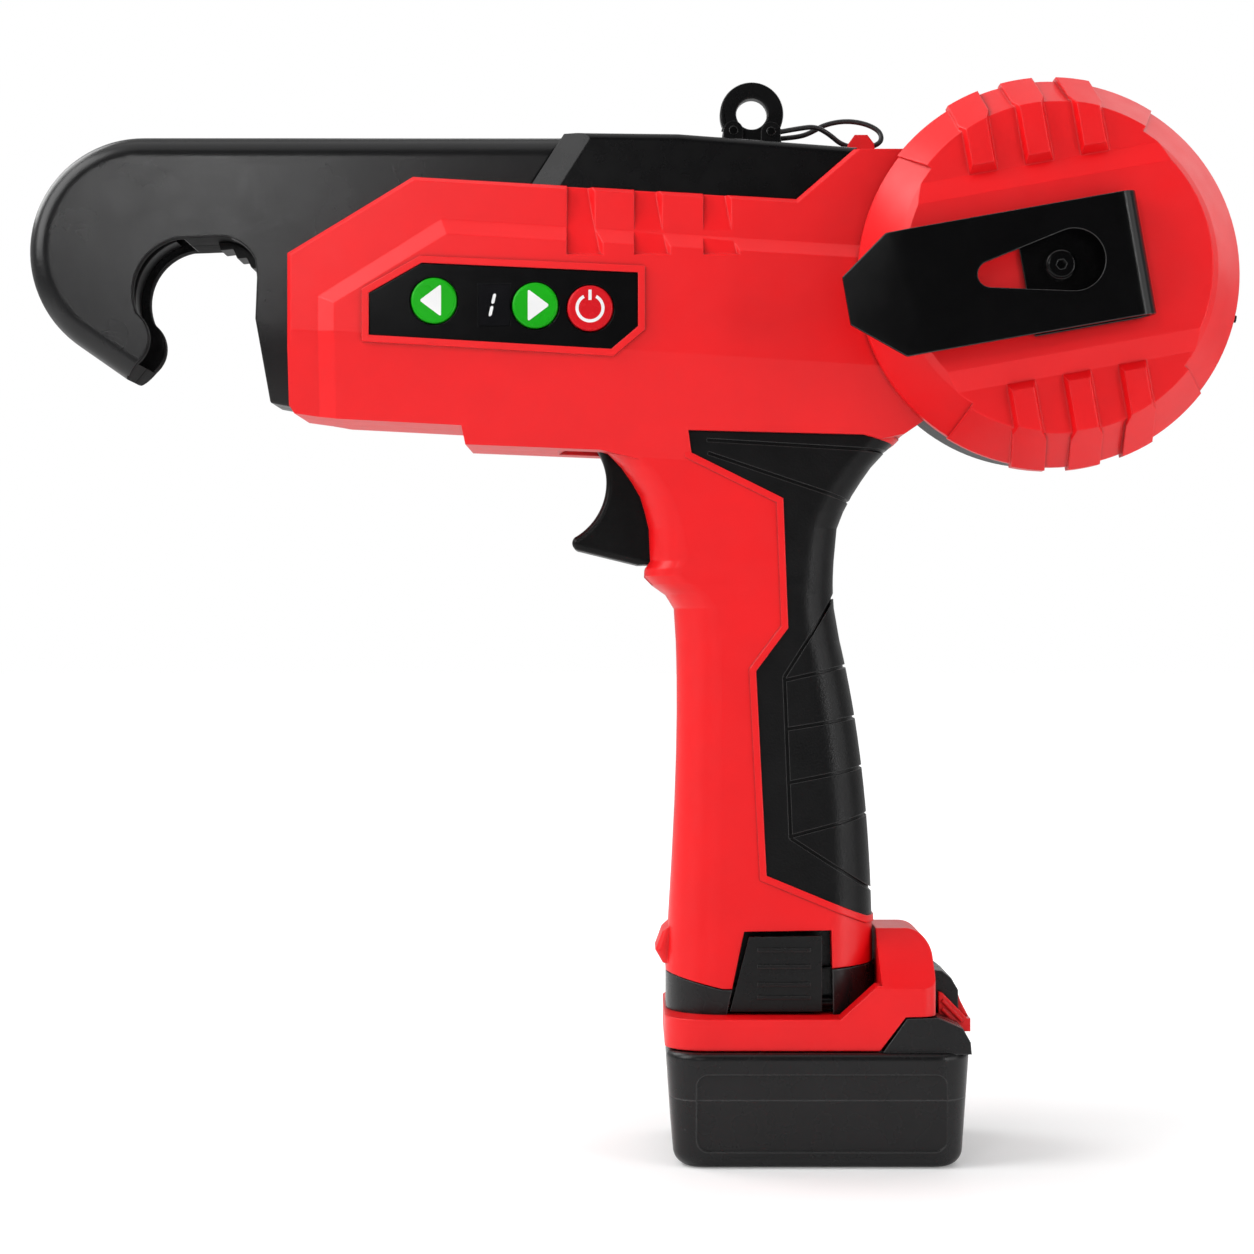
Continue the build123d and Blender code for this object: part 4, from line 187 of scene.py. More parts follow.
def mix_colours(tree, share, first, second):
    """Blend from the first colour to the second by a share; each is a colour or another node's output."""
    blend = tree.nodes.new("ShaderNodeMix")
    blend.data_type = "RGBA"
    factor, colour_a, colour_b = (blend.inputs[place] for place in (0, 6, 7))
    tree.links.new(share, factor)
    for socket, colour in ((colour_a, first), (colour_b, second)):
        if isinstance(colour, bpy.types.NodeSocket):
            tree.links.new(colour, socket)
        else:
            socket.default_value = (*colour, 1.0)
    return blend.outputs[2]


def tint(colour, factor, lift=0.0):
    """Colour scaled and lifted, no brighter than white."""
    return [min(1.0, channel * factor + lift) for channel in colour]


def edge_highlight_share(tree, soft_edge):
    """How far a rounded edge turns away from its face, from none on the flat to most on the edge; it sets the
    painted highlight on edges.
    """
    shape = tree.nodes.new("ShaderNodeNewGeometry")
    match = tree.nodes.new("ShaderNodeVectorMath")
    match.operation = "DOT_PRODUCT"
    turned = shade(tree, "ShaderNodeMapRange", From_Min=0.995, From_Max=0.85, To_Min=0.0, To_Max=0.6)
    tree.links.new(soft_edge.outputs["Normal"], match.inputs[0])
    tree.links.new(shape.outputs["Normal"], match.inputs[1])
    tree.links.new(match.outputs["Value"], turned.inputs["Value"])
    return turned.outputs["Result"]


def unshaded_share(tree, reach):
    """How open a point is, by ambient occlusion: zero deep in a corner or joint, one in the clear; it sets
    the painted shade in corners and joints.
    """
    corner = shade(tree, "ShaderNodeAmbientOcclusion", Distance=reach)
    corner.samples = 8
    clear = shade(tree, "ShaderNodeMapRange", From_Min=0.3, From_Max=0.85, To_Min=0.0, To_Max=1.0)
    tree.links.new(corner.outputs["AO"], clear.inputs["Value"])
    return clear.outputs["Result"]


def edge_highlight_and_corner_shade(tree, paint, bump, colour, edge, highlight_lift):
    """Paint with painted highlights that lighten the edges and painted shade that darkens corners and joints,
    on a bump that follows the softened edges.
    """
    soft_edge = shade(tree, "ShaderNodeBevel", Radius=edge)
    soft_edge.samples = 6
    tree.links.new(soft_edge.outputs["Normal"], bump.inputs["Normal"])
    # Edges lighten towards a paler tint of the colour: a painted highlight.
    highlighted = mix_colours(tree, edge_highlight_share(tree, soft_edge), paint, tint(colour, 1.15, highlight_lift))
    # Corners and joints darken to 0.4 of the colour: painted shade.
    return mix_colours(tree, unshaded_share(tree, 4 * edge), tint(colour, 0.4), highlighted)


def finish(name, colour, roughness, grain=0.0, grain_scale=2600.0, metallic=0.0, coat=0.0, mottle=0.12,
           spread=0.06, specular=0.5, edge=0.0, highlight_lift=0.012):
    """Finish with faint colour patches, uneven gloss and a fine grain, and, if edge is set, softened edges
    with painted highlights and painted shade in corners.
    """
    if name in bpy.data.materials:
        return bpy.data.materials[name]
    material = bpy.data.materials.new(name)
    material.use_nodes = True
    material.diffuse_color = (*colour, 1.0)
    tree = material.node_tree
    surface = tree.nodes["Principled BSDF"]
    surface.inputs["Metallic"].default_value = metallic
    surface.inputs["Coat Weight"].default_value = coat
    surface.inputs["Coat Roughness"].default_value = 0.12
    surface.inputs["Specular IOR Level"].default_value = specular
    gloss = patch_noise(tree, 140.0, 5.0, roughness - spread, roughness + spread)
    bump = shade(tree, "ShaderNodeBump", Strength=grain, Distance=0.1 * MM)
    tree.links.new(patch_noise(tree, grain_scale, 3.0, 0.0, 1.0), bump.inputs["Height"])
    patches = patch_noise(tree, 60.0, 4.0, 0.0, 1.0)
    paint = mix_colours(tree, patches, tint(colour, 1.0 - mottle), tint(colour, 1.0 + mottle))
    # Painted highlight on edges and painted shade in corners and joints.
    if edge:
        paint = edge_highlight_and_corner_shade(tree, paint, bump, colour, edge, highlight_lift)
    tree.links.new(paint, surface.inputs["Base Color"])
    tree.links.new(gloss, surface.inputs["Roughness"])
    tree.links.new(bump.outputs["Normal"], surface.inputs["Normal"])
    return material


def red_shell():
    return finish(
        "Red satin shell", colours().shell_red, 0.37, 0.10, 3200.0, mottle=0.03, spread=0.03, specular=0.36,
        edge=sizes().shell_edge,
    )


def black_shell():
    return finish(
        "Black grained shell", colours().shell_black, 0.25, 0.14, 2400.0, mottle=0.15, spread=0.02,
        specular=0.32, edge=sizes().small_edge, highlight_lift=0.02,
    )


def drum_black():
    return finish(
        "Black matt drum", colours().shell_black, 0.40, 0.20, 2400.0, mottle=0.15, spread=0.03,
        specular=0.14, edge=sizes().small_edge, highlight_lift=0.03,
    )


def throat_black():
    return finish(
        "Black rough throat", (0.004, 0.004, 0.0042), 0.68, 0.25, 2400.0, mottle=0.15, spread=0.04,
        specular=0.08, edge=sizes().small_edge, highlight_lift=0.02,
    )


def case_black():
    return finish(
        "Black satin case", colours().shell_black, 0.27, 0.12, 2800.0, mottle=0.12, spread=0.02,
        specular=0.27, edge=sizes().shell_edge, highlight_lift=0.10,
    )


def tab_black():
    return finish(
        "Black ribbed tab", (0.005, 0.005, 0.0053), 0.27, 0.12, 2800.0, mottle=0.12, spread=0.02,
        specular=0.24, edge=sizes().small_edge, highlight_lift=0.06,
    )


def cover_black():
    return finish(
        "Black smooth cover", (0.0035, 0.0035, 0.0038), 0.28, 0.10, 3000.0, mottle=0.10, spread=0.03,
        specular=0.2, edge=sizes().small_edge, highlight_lift=0.03,
    )


def trigger_black():
    return finish(
        "Black smooth trigger", (0.004, 0.004, 0.0042), 0.32, 0.14, 2800.0, mottle=0.12, spread=0.03,
        specular=0.14, edge=sizes().shell_edge, highlight_lift=0.08,
    )


def grip_rubber():
    return finish(
        "Grip rubber", (0.0045, 0.0045, 0.0048), 0.33, 0.30, 1500.0, mottle=0.15, spread=0.04,
        specular=0.18, edge=sizes().small_edge, highlight_lift=0.11,
    )


def panel_black():
    return finish(
        "Panel black", (0.003, 0.003, 0.0033), 0.20, 0.05, 3600.0, mottle=0.08, spread=0.02, specular=0.15,
    )


def display_glass():
    return finish("Display lens", (0.004, 0.004, 0.005), 0.10, 0.0, mottle=0.1, spread=0.03, coat=0.5)


def button_green():
    return finish(
        "Green button", colours().button_green, 0.28, 0.04, 3600.0, mottle=0.05, spread=0.02, specular=0.16,
    )


def button_red():
    return finish(
        "Red button", (0.60, 0.006, 0.012), 0.28, 0.04, 3600.0, mottle=0.05, spread=0.02, specular=0.16,
    )


def black_steel():
    return finish(
        "Black coated steel", (0.0022, 0.0022, 0.0024), 0.20, 0.08, 2800.0, mottle=0.10, spread=0.02,
        specular=0.24, edge=sizes().small_edge, highlight_lift=0.22,
    )


def bare_steel():
    return finish("Machined steel", (0.55, 0.55, 0.56), 0.34, 0.12, 4200.0, metallic=1.0, mottle=0.06)


def circuit_board():
    return finish("Circuit board", (0.02, 0.16, 0.06), 0.40, 0.10, 900.0, mottle=0.25)


def contact_brass():
    return finish("Brass contact", (0.72, 0.50, 0.20), 0.30, 0.08, 4200.0, metallic=1.0, mottle=0.08)


def cell_wrap():
    return finish("Cell wrap", (0.02, 0.10, 0.30), 0.34, 0.05, 2000.0, mottle=0.06, specular=0.25)


def pale_nylon():
    return finish("Pale nylon", (0.70, 0.67, 0.60), 0.48, 0.10, 2600.0, mottle=0.06)


def wire_coating():
    return finish("Wire coating", colours().wire_green, 0.40, 0.06, 3000.0, mottle=0.15)


def tether_jacket():
    return finish("Tether jacket", (0.014, 0.014, 0.015), 0.42, 0.10, 4000.0, mottle=0.15)


def mark_white():
    return finish("Mark white", (0.80, 0.80, 0.80), 0.42, 0.04, 3600.0, mottle=0.04)


# Shapes
def dress(piece, material):
    """Give a piece one finish."""
    piece.data.materials.clear()
    piece.data.materials.append(material)


def dress_node(name, material):
    """Give a CAD node a finish in place."""
    dress(frame["nodes"][name], material)


def middle_of(node):
    """Middle of a CAD node's box."""
    low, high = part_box(node)
    return (low + high) / 2


def new_piece(name, bm, material, body, weighted=True):
    """Object from a finished bmesh, smooth but for its hard edges, riding on a body."""
    mesh = bpy.data.meshes.new(name)
    bm.to_mesh(mesh)
    bm.free()
    if "custom_normal" in mesh.attributes:
        mesh.attributes.remove(mesh.attributes["custom_normal"])
    mesh.polygons.foreach_set("use_smooth", [True] * len(mesh.polygons))
    mesh.set_sharp_from_angle(angle=math.radians(40))
    piece = bpy.data.objects.new(name, mesh)
    bpy.context.scene.collection.objects.link(piece)
    if weighted:
        weights = piece.modifiers.new("Face weights", "WEIGHTED_NORMAL")
        weights.keep_sharp = True
        weights.weight = 100
    dress(piece, material)
    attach(piece, body)
    return piece


def merged(node):
    """Mesh of a CAD node with its loose triangles joined."""
    bm = bmesh.new()
    bm.from_mesh(frame["nodes"][node].data)
    bmesh.ops.remove_doubles(bm, verts=bm.verts, dist=WELD)
    return bm


def rounded(node, width, material):
    """Copy of a CAD node with its hard edges rounded, which stands for the node."""
    bm = merged(node)
    bmesh.ops.dissolve_limit(bm, angle_limit=math.radians(0.6), verts=bm.verts, edges=bm.edges)
    edges = [
        edge for edge in bm.edges
        if len(edge.link_faces) == 2 and edge.calc_face_angle(0.0) > math.radians(28)
    ]
    bmesh.ops.bevel(
        bm, geom=edges, offset=width, offset_type="OFFSET", segments=2, profile=0.5, affect="EDGES",
        clamp_overlap=False, loop_slide=True, material=-1,
    )
    piece = new_piece(node + "_rounded", bm, material, frame["nodes"][node]["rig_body"])
    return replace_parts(piece, node)


def repeat(bm, count, step):
    """Row of what a bmesh holds, each copy one step further on."""
    first = bm.verts[:] + bm.edges[:] + bm.faces[:]
    for place in range(1, count):
        copy = bmesh.ops.duplicate(bm, geom=first)["geom"]
        verts = [item for item in copy if isinstance(item, bmesh.types.BMVert)]
        bmesh.ops.translate(bm, verts=verts, vec=place * Vector(step))


def leaf_spring(node):
    """Rounded copy of a leaf spring in bare steel, with a mesh of its own."""
    piece = rounded(node, sizes().leaf_edge, bare_steel())
    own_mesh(piece)


def slab(name, outline, front, material, body, corner):
    """Flat mark on a face that looks left: a round-cornered (x, z) outline in metres, proud of the face."""
    bm = bmesh.new()
    bm.faces.new([bm.verts.new((x, front, z)) for x, z in outline])
    bmesh.ops.bevel(
        bm, geom=bm.verts[:], offset=corner, offset_type="OFFSET", segments=5, profile=0.5,
        affect="VERTICES", clamp_overlap=True, material=-1,
    )
    grown = bmesh.ops.extrude_face_region(bm, geom=bm.faces[:])
    moved = [item for item in grown["geom"] if isinstance(item, bmesh.types.BMVert)]
    bmesh.ops.translate(bm, verts=moved, vec=(0.0, -sizes().mark_height, 0.0))
    bmesh.ops.recalc_face_normals(bm, faces=bm.faces)
    new_piece(name, bm, material, body, weighted=False)


class VINE_OT_tether(bpy.types.Operator):
    """Run the thin tether from ear to ear through the lug"""

    bl_idname = "vine.tether"
    bl_label = "Tether"

    def execute(self, context):
        curve = bpy.data.curves.new("tether_cable", "CURVE")
        curve.dimensions = "3D"
        curve.bevel_depth = sizes().tether_diameter / 2
        curve.bevel_resolution = 3
        curve.resolution_u = 12
        curve.use_fill_caps = True
        spline = curve.splines.new("NURBS")
        spline.points.add(len(TETHER_ROUTE) - 1)
        for point, place in zip(spline.points, TETHER_ROUTE):
            point.co = (*[part * MM for part in place], 1.0)
        spline.order_u = 3
        spline.use_endpoint_u = True
        cable = bpy.data.objects.new("tether_cable", curve)
        context.scene.collection.objects.link(cable)
        dress(cable, tether_jacket())
        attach(cable, "frame")
        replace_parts(cable, "tether")
        return {"FINISHED"}


class VINE_OT_housing(bpy.types.Operator):
    """Finish the two halves of the red housing and their screws"""

    bl_idname = "vine.housing"
    bl_label = "Housing"

    def execute(self, context):
        for node in ("left_housing", "right_housing"):
            dress_node(node, red_shell())
        dress_node("housing_screws", black_steel())
        return {"FINISHED"}


class VINE_OT_hook(bpy.types.Operator):
    """Round and finish the hook shells, wire guide and nozzle, and finish the wire's way"""

    bl_idname = "vine.hook"
    bl_label = "Hook"

    def execute(self, context):
        for node in ("hook_shell_left", "hook_shell_right"):
            self.roughen_throat(rounded(node, sizes().shell_edge, black_shell()))
        for node in ("wire_guide", "wire_nozzle"):
            rounded(node, sizes().small_edge, drum_black())
        for node in ("cutter_blade", "wire_conduit", "wire_inlet_tube"):
            dress_node(node, bare_steel())
        return {"FINISHED"}

    def roughen_throat(self, shell):
        """Rough finish on the walls of the throat and the end of the tip."""
        shell.data.materials.append(throat_black())
        low, high = [Vector(corner) * MM for corner in THROAT_BOX]
        for face in shell.data.polygons:
            across = abs(face.normal.y) < 0.5 and face.normal.x > -0.3
            if across and low.x < face.center.x < high.x and low.z < face.center.z < high.z:
                face.material_index = 1


class VINE_OT_cover(bpy.types.Operator):
    """Finish the rear top cover, and round the hanger eye and its pins"""

    bl_idname = "vine.cover"
    bl_label = "Top Cover"

    def execute(self, context):
        dress_node("top_cover", cover_black())
        rounded("hanger_eye", sizes().shell_edge, cover_black())
        rounded("hanger_pins", sizes().small_edge, black_steel())
        return {"FINISHED"}


class VINE_OT_grip(bpy.types.Operator):
    """Finish the rubber backstrap and the trigger with its pin, spring and switch"""

    bl_idname = "vine.grip"
    bl_label = "Grip"

    def execute(self, context):
        dress_node("grip_sleeve", grip_rubber())
        dress_node("trigger", trigger_black())
        dress_node("trigger_pin", bare_steel())
        leaf_spring("trigger_spring")
        dress_node("trigger_switch", case_black())
        return {"FINISHED"}


class VINE_OT_panel(bpy.types.Operator):
    """Finish the control panel and its buttons, and add the marks and the display digit"""

    bl_idname = "vine.panel"
    bl_label = "Control Panel"

    def execute(self, context):
        rounded("control_panel", sizes().small_edge, panel_black())
        dress_node("display_window", display_glass())
        dress_node("control_board", circuit_board())
        dress_node("power_button", button_red())
        self.arrow("minus_button", -1)
        self.arrow("plus_button", 1)
        self.power_sign()
        self.digit()
        return {"FINISHED"}

    def arrow(self, button, way):
        """Green button with an arrow that points one way along the tool."""
        dress_node(button, button_green())
        middle = middle_of(button)
        outline = [(middle.x + way * x * MM, middle.z + z * MM) for x, z in ARROW]
        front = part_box(button)[0].y
        slab(button + "_arrow", outline, front, mark_white(), button, corner=0.7 * MM)

    def power_sign(self):
        """Broken ring with a bar in its gap."""
        middle = middle_of("power_button")
        height = sizes().mark_height
        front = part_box("power_button")[0].y - height / 2
        ring, stroke, gap = 3.75 * MM, 0.9 * MM, math.radians(28)
        bar_length, bar_rise = 3.0 * MM, 3.8 * MM
        bm = bmesh.new()
        section = bmesh.ops.create_grid(bm, x_segments=1, y_segments=1, size=0.5)["verts"]
        bmesh.ops.scale(bm, vec=(stroke, height, 1.0), verts=section)
        bmesh.ops.translate(bm, vec=(ring, front, 0.0), verts=section)
        turn = Matrix.Rotation(-(math.pi / 2 + gap), 4, "Y")
        bmesh.ops.transform(bm, matrix=turn, verts=section)
        bmesh.ops.spin(
            bm, geom=bm.faces[:], cent=(0, 0, 0), axis=(0, -1, 0), angle=2 * (math.pi - gap), steps=40,
            use_duplicate=False,
        )
        bmesh.ops.translate(bm, verts=bm.verts, vec=(middle.x, 0.0, middle.z))
        bar = bmesh.ops.create_cube(bm, size=1.0)["verts"]
        bmesh.ops.scale(bm, vec=(stroke, height, bar_length), verts=bar)
        bmesh.ops.translate(bm, vec=(middle.x, front, middle.z + bar_rise), verts=bar)
        bmesh.ops.recalc_face_normals(bm, faces=bm.faces)
        new_piece("power_sign", bm, mark_white(), "power_button", weighted=False)

    def digit(self):
        """Slanted one of two bars on the display."""
        middle = middle_of("display_window")
        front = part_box("display_window")[0].y
        for name, foot in (("digit_upper", 0.25), ("digit_lower", -3.35)):
            outline = [
                (middle.x + (DIGIT_SHIFT + x + DIGIT_SLANT * (foot + z)) * MM, middle.z + (foot + z) * MM)
                for x, z in DIGIT_BAR
            ]
            slab(name, outline, front, mark_white(), "frame", corner=0.12 * MM)


class VINE_OT_reel(bpy.types.Operator):
    """Finish the drum, lid and belt clip, and wind the spool"""

    bl_idname = "vine.reel"
    bl_label = "Reel"

    def execute(self, context):
        dress_node("drum_bowl", drum_black())
        dress_node("spool_lid", red_shell())
        rounded("belt_clip", sizes().small_edge, black_steel())
        dress_node("clip_screw", black_steel())
        dress_node("lid_seal", grip_rubber())
        dress_node("lid_bush", contact_brass())
        dress_node("spool_spindle", bare_steel())
        dress_node("spool", pale_nylon())
        self.winding()
        return {"FINISHED"}

    def winding(self):
        """Outer layer of wire on the spool, turn beside turn."""
        low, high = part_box("wire_coil")
        middle = middle_of("wire_coil")
        wire = sizes().wire_diameter
        outer = (high.x - low.x) / 2
        bm = bmesh.new()
        circle = bmesh.ops.create_circle(bm, segments=10, radius=wire / 2)["verts"]
        bmesh.ops.translate(bm, verts=circle, vec=(outer - wire / 2, 0.0, 0.0))
        bmesh.ops.spin(
            bm, geom=bm.edges[:], cent=(0, 0, 0), axis=(0, 1, 0), angle=2 * math.pi, steps=72,
            use_merge=True, use_duplicate=False,
        )
        bmesh.ops.recalc_face_normals(bm, faces=bm.faces)
        bmesh.ops.translate(bm, verts=bm.verts, vec=(middle.x, low.y + wire / 2, middle.z))
        repeat(bm, int((high.y - low.y) / wire), (0.0, wire, 0.0))
        piece = new_piece("wound_wire", bm, wire_coating(), "spool", weighted=False)
        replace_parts(piece, "wire_coil")


class VINE_OT_base(bpy.types.Operator):
    """Finish the collar, release tabs and battery dock"""

    bl_idname = "vine.base"
    bl_label = "Base"

    def execute(self, context):
        dress_node("base_collar", case_black())
        for node in ("release_tab_left", "release_tab_right"):
            dress_node(node, tab_black())
        dress_node("battery_dock", red_shell())
        dress_node("dock_terminals", contact_brass())
        return {"FINISHED"}


class VINE_OT_battery(bpy.types.Operator):
    """Close the battery's lower case, wrap its cells and finish the upper case, latch and contacts"""

    bl_idname = "vine.battery"
    bl_label = "Battery"

    def execute(self, context):
        self.lower_case()
        self.cells()
        dress_node("battery_upper_case", case_black())
        dress_node("battery_latch", red_shell())
        dress_node("battery_terminals", contact_brass())
        leaf_spring("latch_spring")
        return {"FINISHED"}

    def cell_row(self, low, high):
        """Radius of the cells in their box, and the step from one to the next along the case."""
        radius = (high.z - low.z) / 2
        return radius, (high.x - low.x - 2 * radius) / (CELL_COUNT - 1)

    def lower_case(self):
        """Lower case with whole front corners: a copy whose cell bores are taken out and closed over."""
        low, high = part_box("battery_cells")
        bm = merged("battery_lower_case")
        inner = [face for face in bm.faces if all(self.on_cell(vert.co, low, high) for vert in face.verts)]
        bmesh.ops.delete(bm, geom=inner, context="FACES")
        bmesh.ops.holes_fill(bm, edges=[edge for edge in bm.edges if edge.is_boundary], sides=0)
        bmesh.ops.recalc_face_normals(bm, faces=bm.faces)
        body = frame["nodes"]["battery_lower_case"]["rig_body"]
        piece = new_piece("battery_lower_body", bm, case_black(), body, weighted=False)
        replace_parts(piece, "battery_lower_case")

    def on_cell(self, place, low, high):
        """Whether a point lies on the skin of a cell: its round side or one of its ends."""
        radius, pitch = self.cell_row(low, high)
        rise = place.z - (low.z + high.z) / 2
        reach = [
            math.hypot(place.x - (low.x + radius + step * pitch), rise) - radius
            for step in range(CELL_COUNT)
        ]
        near = 0.02 * MM
        inside = low.y - near < place.y < high.y + near
        on_end = min(abs(place.y - low.y), abs(place.y - high.y)) < near
        return inside and (min(abs(gap) for gap in reach) < near or on_end and min(reach) < near)

    def cells(self):
        """Wrapped cells with rounded ends, clear of the case's corners."""
        low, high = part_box("battery_cells")
        radius, pitch = self.cell_row(low, high)
        bm = bmesh.new()
        bmesh.ops.create_cone(
            bm, cap_ends=True, segments=48, radius1=radius, radius2=radius, depth=2 * (high.y - CELL_END_GAP),
        )
        rims = [edge for edge in bm.edges if any(len(face.verts) > 4 for face in edge.link_faces)]
        bmesh.ops.bevel(
            bm, geom=rims, offset=CELL_RIM, offset_type="OFFSET", segments=4, profile=0.5, affect="EDGES",
            clamp_overlap=True, material=-1,
        )
        lying = Matrix.Rotation(math.pi / 2, 3, "X")
        bmesh.ops.rotate(bm, verts=bm.verts, cent=(0, 0, 0), matrix=lying)
        bmesh.ops.translate(bm, verts=bm.verts, vec=(low.x + radius, 0.0, (low.z + high.z) / 2))
        repeat(bm, CELL_COUNT, (pitch, 0.0, 0.0))
        body = frame["nodes"]["battery_cells"]["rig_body"]
        piece = new_piece("wrapped_cells", bm, cell_wrap(), body)
        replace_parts(piece, "battery_cells")


class VINE_OT_works(bpy.types.Operator):
    """Finish the motors, feed and boards inside the housing"""

    bl_idname = "vine.works"
    bl_label = "Works"

    def execute(self, context):
        for node in ("twist_motor", "twist_gearbox", "feed_motor", "feed_plate", "feed_roller", "pinch_arm",
                     "pinch_pin", "pinch_roller", "pinch_spring", "twister"):
            dress_node(node, bare_steel())
        for node in ("twister_bush", "feed_pinion"):
            dress_node(node, contact_brass())
        dress_node("feed_gear", pale_nylon())
        dress_node("chassis", drum_black())
        dress_node("main_board", circuit_board())
        return {"FINISHED"}


class VINE_OT_stage(bpy.types.Operator):
    """Set up the pale floor, soft light and camera"""

    bl_idname = "vine.stage"
    bl_label = "Stage"

    def execute(self, context):
        scene = context.scene
        scene.view_settings.view_transform = "Standard"
        self.floor(scene)
        self.world(scene)
        for softbox in SOFTBOXES:
            self.lamp(scene, *softbox)
        self.lamp(scene, *FRONT_FILL).visible_glossy = False
        self.camera(scene)
        return {"FINISHED"}

    def camera(self, scene):
        """Level camera that looks straight at the left side."""
        lens = bpy.data.cameras.new("camera")
        lens.sensor_fit = "HORIZONTAL"
        lens.sensor_width = SENSOR_WIDTH
        lens.lens = LENS
        lens.clip_start = 0.01
        camera = bpy.data.objects.new("camera", lens)
        camera.location = CAMERA_PLACE
        camera.rotation_euler = (math.pi / 2, 0.0, 0.0)
        scene.collection.objects.link(camera)
        scene.camera = camera

    def lamp(self, scene, name, place, size, power):
        """Rectangular softbox that looks at the middle of the tool."""
        light = bpy.data.lights.new(name, "AREA")
        light.shape = "RECTANGLE"
        light.size, light.size_y = size
        light.energy = power
        lamp = bpy.data.objects.new(name, light)
        lamp.location = place
        lamp.rotation_euler = (LAMP_AIM - Vector(place)).to_track_quat("-Z", "Y").to_euler()
        lamp.visible_camera = False
        scene.collection.objects.link(lamp)
        return lamp

    def camera_share(self, tree, mirrored=1.0):
        """One for camera rays, the mirrored share for glossy and transmission rays, zero for the rest."""
        path = tree.nodes.new("ShaderNodeLightPath")
        share = path.outputs["Is Camera Ray"]
        for ray in ("Is Glossy Ray", "Is Transmission Ray"):
            joined = tree.nodes.new("ShaderNodeMath")
            joined.operation = "MULTIPLY_ADD"
            joined.inputs[1].default_value = mirrored
            tree.links.new(path.outputs[ray], joined.inputs[0])
            tree.links.new(share, joined.inputs[2])
            share = joined.outputs[0]
        return share

    def floor(self, scene):
        """Wide pale floor that keeps the tool's shadow."""
        bm = bmesh.new()
        bmesh.ops.create_grid(bm, x_segments=1, y_segments=1, size=8.0)
        mesh = bpy.data.meshes.new("floor")
        bm.to_mesh(mesh)
        bm.free()
        floor = bpy.data.objects.new("floor", mesh)
        scene.collection.objects.link(floor)
        paint = bpy.data.materials.new("Pale floor")
        paint.use_nodes = True
        tree = paint.node_tree
        surface = tree.nodes["Principled BSDF"]
        surface.inputs["Base Color"].default_value = (0.86, 0.86, 0.86, 1.0)
        surface.inputs["Roughness"].default_value = 0.6
        surface.inputs["Specular IOR Level"].default_value = 0.1
        surface.inputs["Emission Color"].default_value = (1.0, 1.0, 1.0, 1.0)
        tree.links.new(self.floor_glow(tree), surface.inputs["Emission Strength"])
        dress(floor, paint)

    def floor_glow(self, tree):
        """Glow that grows away from the tool, seen by the camera and faintly in reflections; the weaker glow
        near the tool leaves a painted shade round it.
        """
        coords = tree.nodes.new("ShaderNodeTexCoord")
        reach = tree.nodes.new("ShaderNodeVectorMath")
        reach.operation = "LENGTH"
        # Less glow within 0.2 m of the tool darkens the floor round it: painted shade about its real shadow.
        near = shade(tree, "ShaderNodeMapRange", From_Min=0.06, From_Max=0.20, To_Min=0.15, To_Max=0.34)
        far = shade(tree, "ShaderNodeMapRange", From_Min=0.3, From_Max=1.8, To_Min=0.0, To_Max=0.5)
        lift = tree.nodes.new("ShaderNodeMath")
        seen = tree.nodes.new("ShaderNodeMath")
        seen.operation = "MULTIPLY"
        tree.links.new(coords.outputs["Object"], reach.inputs[0])
        for side, stretch in enumerate((near, far)):
            tree.links.new(reach.outputs["Value"], stretch.inputs["Value"])
            tree.links.new(stretch.outputs["Result"], lift.inputs[side])
        tree.links.new(lift.outputs[0], seen.inputs[0])
        tree.links.new(self.camera_share(tree, 0.12), seen.inputs[1])
        return seen.outputs[0]

    def world(self, scene):
        """White backdrop to the camera, dim in front and brighter behind to glossy rays, soft to the rest."""
        world = bpy.data.worlds.new("Studio")
        scene.world = world
        world.use_nodes = True
        tree = world.node_tree
        back = tree.nodes["Background"]
        back.inputs["Color"].default_value = (1.0, 1.0, 1.0, 1.0)
        coords = tree.nodes.new("ShaderNodeTexCoord")
        way = tree.nodes.new("ShaderNodeSeparateXYZ")
        backdrop = shade(tree, "ShaderNodeMapRange", From_Min=-0.6, From_Max=0.3, To_Min=0.03, To_Max=0.45)
        bright = tree.nodes.new("ShaderNodeMath")
        bright.operation = "MAXIMUM"
        level = tree.nodes.new("ShaderNodeMix")
        level.inputs["A"].default_value = 0.28
        tree.links.new(coords.outputs["Generated"], way.inputs["Vector"])
        tree.links.new(way.outputs["Y"], backdrop.inputs["Value"])
        tree.links.new(backdrop.outputs["Result"], bright.inputs[0])
        tree.links.new(tree.nodes.new("ShaderNodeLightPath").outputs["Is Camera Ray"], bright.inputs[1])
        tree.links.new(self.camera_share(tree), level.inputs["Factor"])
        tree.links.new(bright.outputs[0], level.inputs["B"])
        tree.links.new(level.outputs["Result"], back.inputs["Strength"])


class VINE_PT_panel(bpy.types.Panel):
    """Sidebar panel with the tool's sizes, colours and steps"""

    bl_idname = "VINE_PT_panel"
    bl_label = "Vine Tying Tool"
    bl_space_type = "VIEW_3D"
    bl_region_type = "UI"
    bl_category = "Vine Tool"

    def draw(self, context):
        for group in (colours(), sizes()):
            for prop in group.bl_rna.properties:
                if prop.identifier not in ("rna_type", "name"):
                    self.layout.prop(group, prop.identifier)
        for step in STEPS:
            self.layout.operator(step.bl_idname)


STEPS = (
    VINE_OT_stage, VINE_OT_tether, VINE_OT_housing, VINE_OT_hook, VINE_OT_cover, VINE_OT_grip, VINE_OT_panel,
    VINE_OT_reel, VINE_OT_base, VINE_OT_battery, VINE_OT_works,
)
CLASSES = (ToolColours, ToolSizes, *STEPS, VINE_PT_panel)


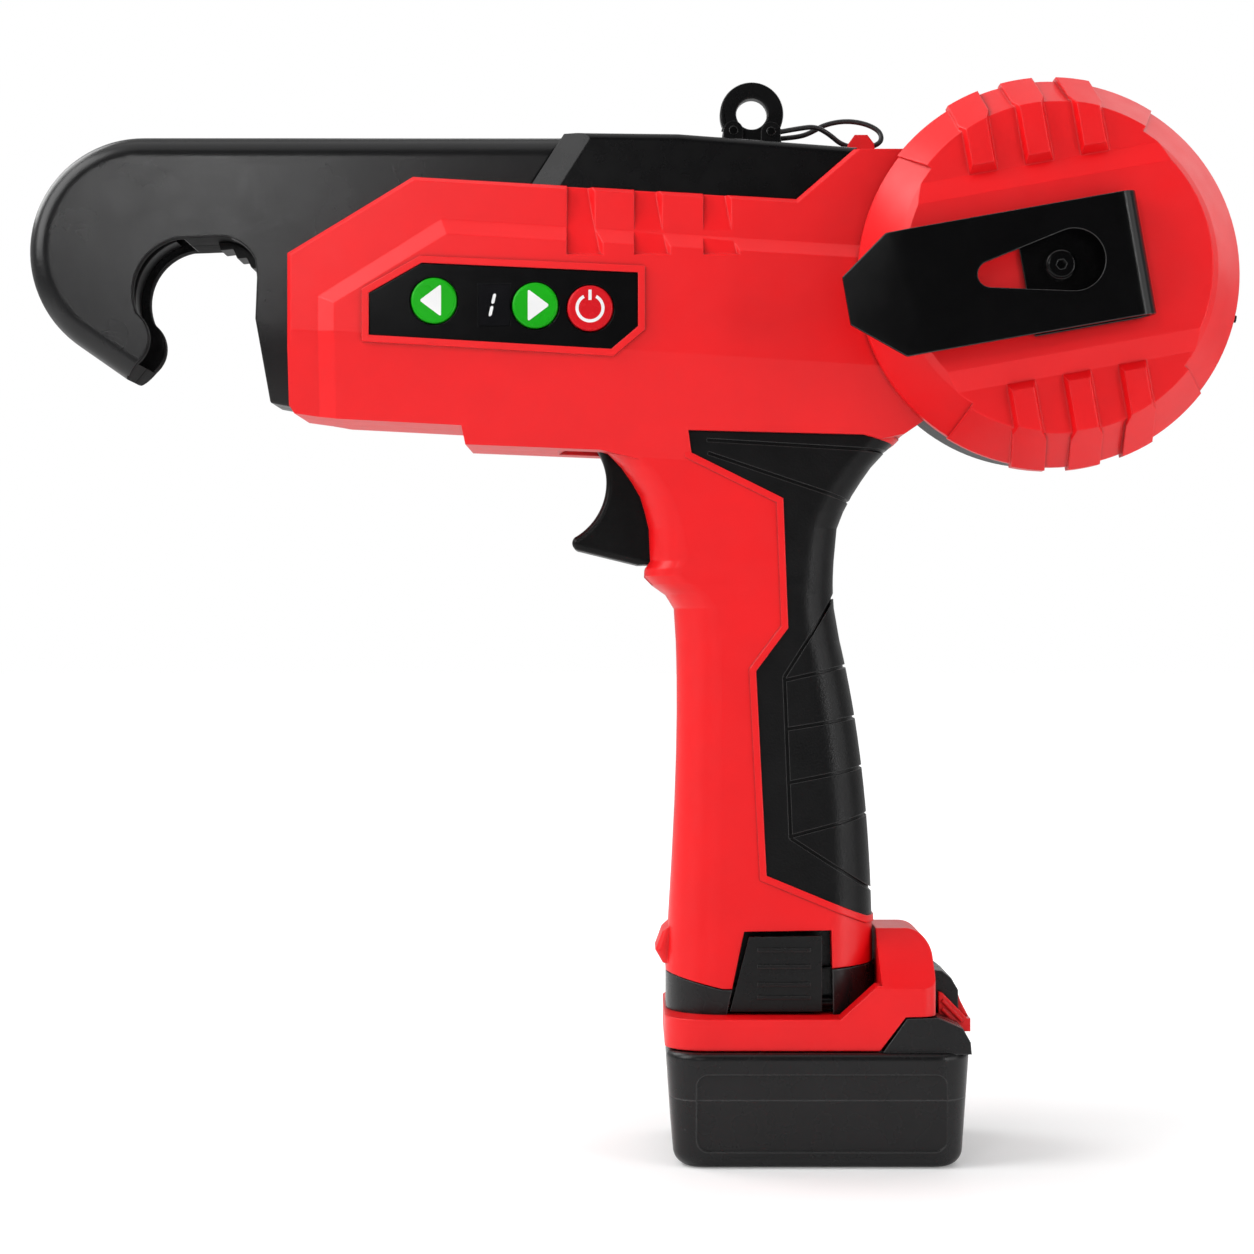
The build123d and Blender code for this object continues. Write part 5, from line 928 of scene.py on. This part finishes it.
def register():
    for cls in CLASSES:
        bpy.utils.register_class(cls)
    bpy.types.Scene.vine_colours = bpy.props.PointerProperty(type=ToolColours)
    bpy.types.Scene.vine_sizes = bpy.props.PointerProperty(type=ToolSizes)


def unregister():
    del bpy.types.Scene.vine_sizes
    del bpy.types.Scene.vine_colours
    for cls in reversed(CLASSES):
        bpy.utils.unregister_class(cls)


def main():
    for leftover in ("Cube", "Light", "Camera"):
        if leftover in bpy.data.objects:
            bpy.data.objects.remove(bpy.data.objects[leftover])
    register()
    bpy.ops.vine.stage()
    bpy.ops.vine.tether()
    bpy.ops.vine.housing()
    bpy.ops.vine.hook()
    bpy.ops.vine.cover()
    bpy.ops.vine.grip()
    bpy.ops.vine.panel()
    bpy.ops.vine.reel()
    bpy.ops.vine.base()
    bpy.ops.vine.battery()
    bpy.ops.vine.works()


if __name__ == "__main__":
    main()
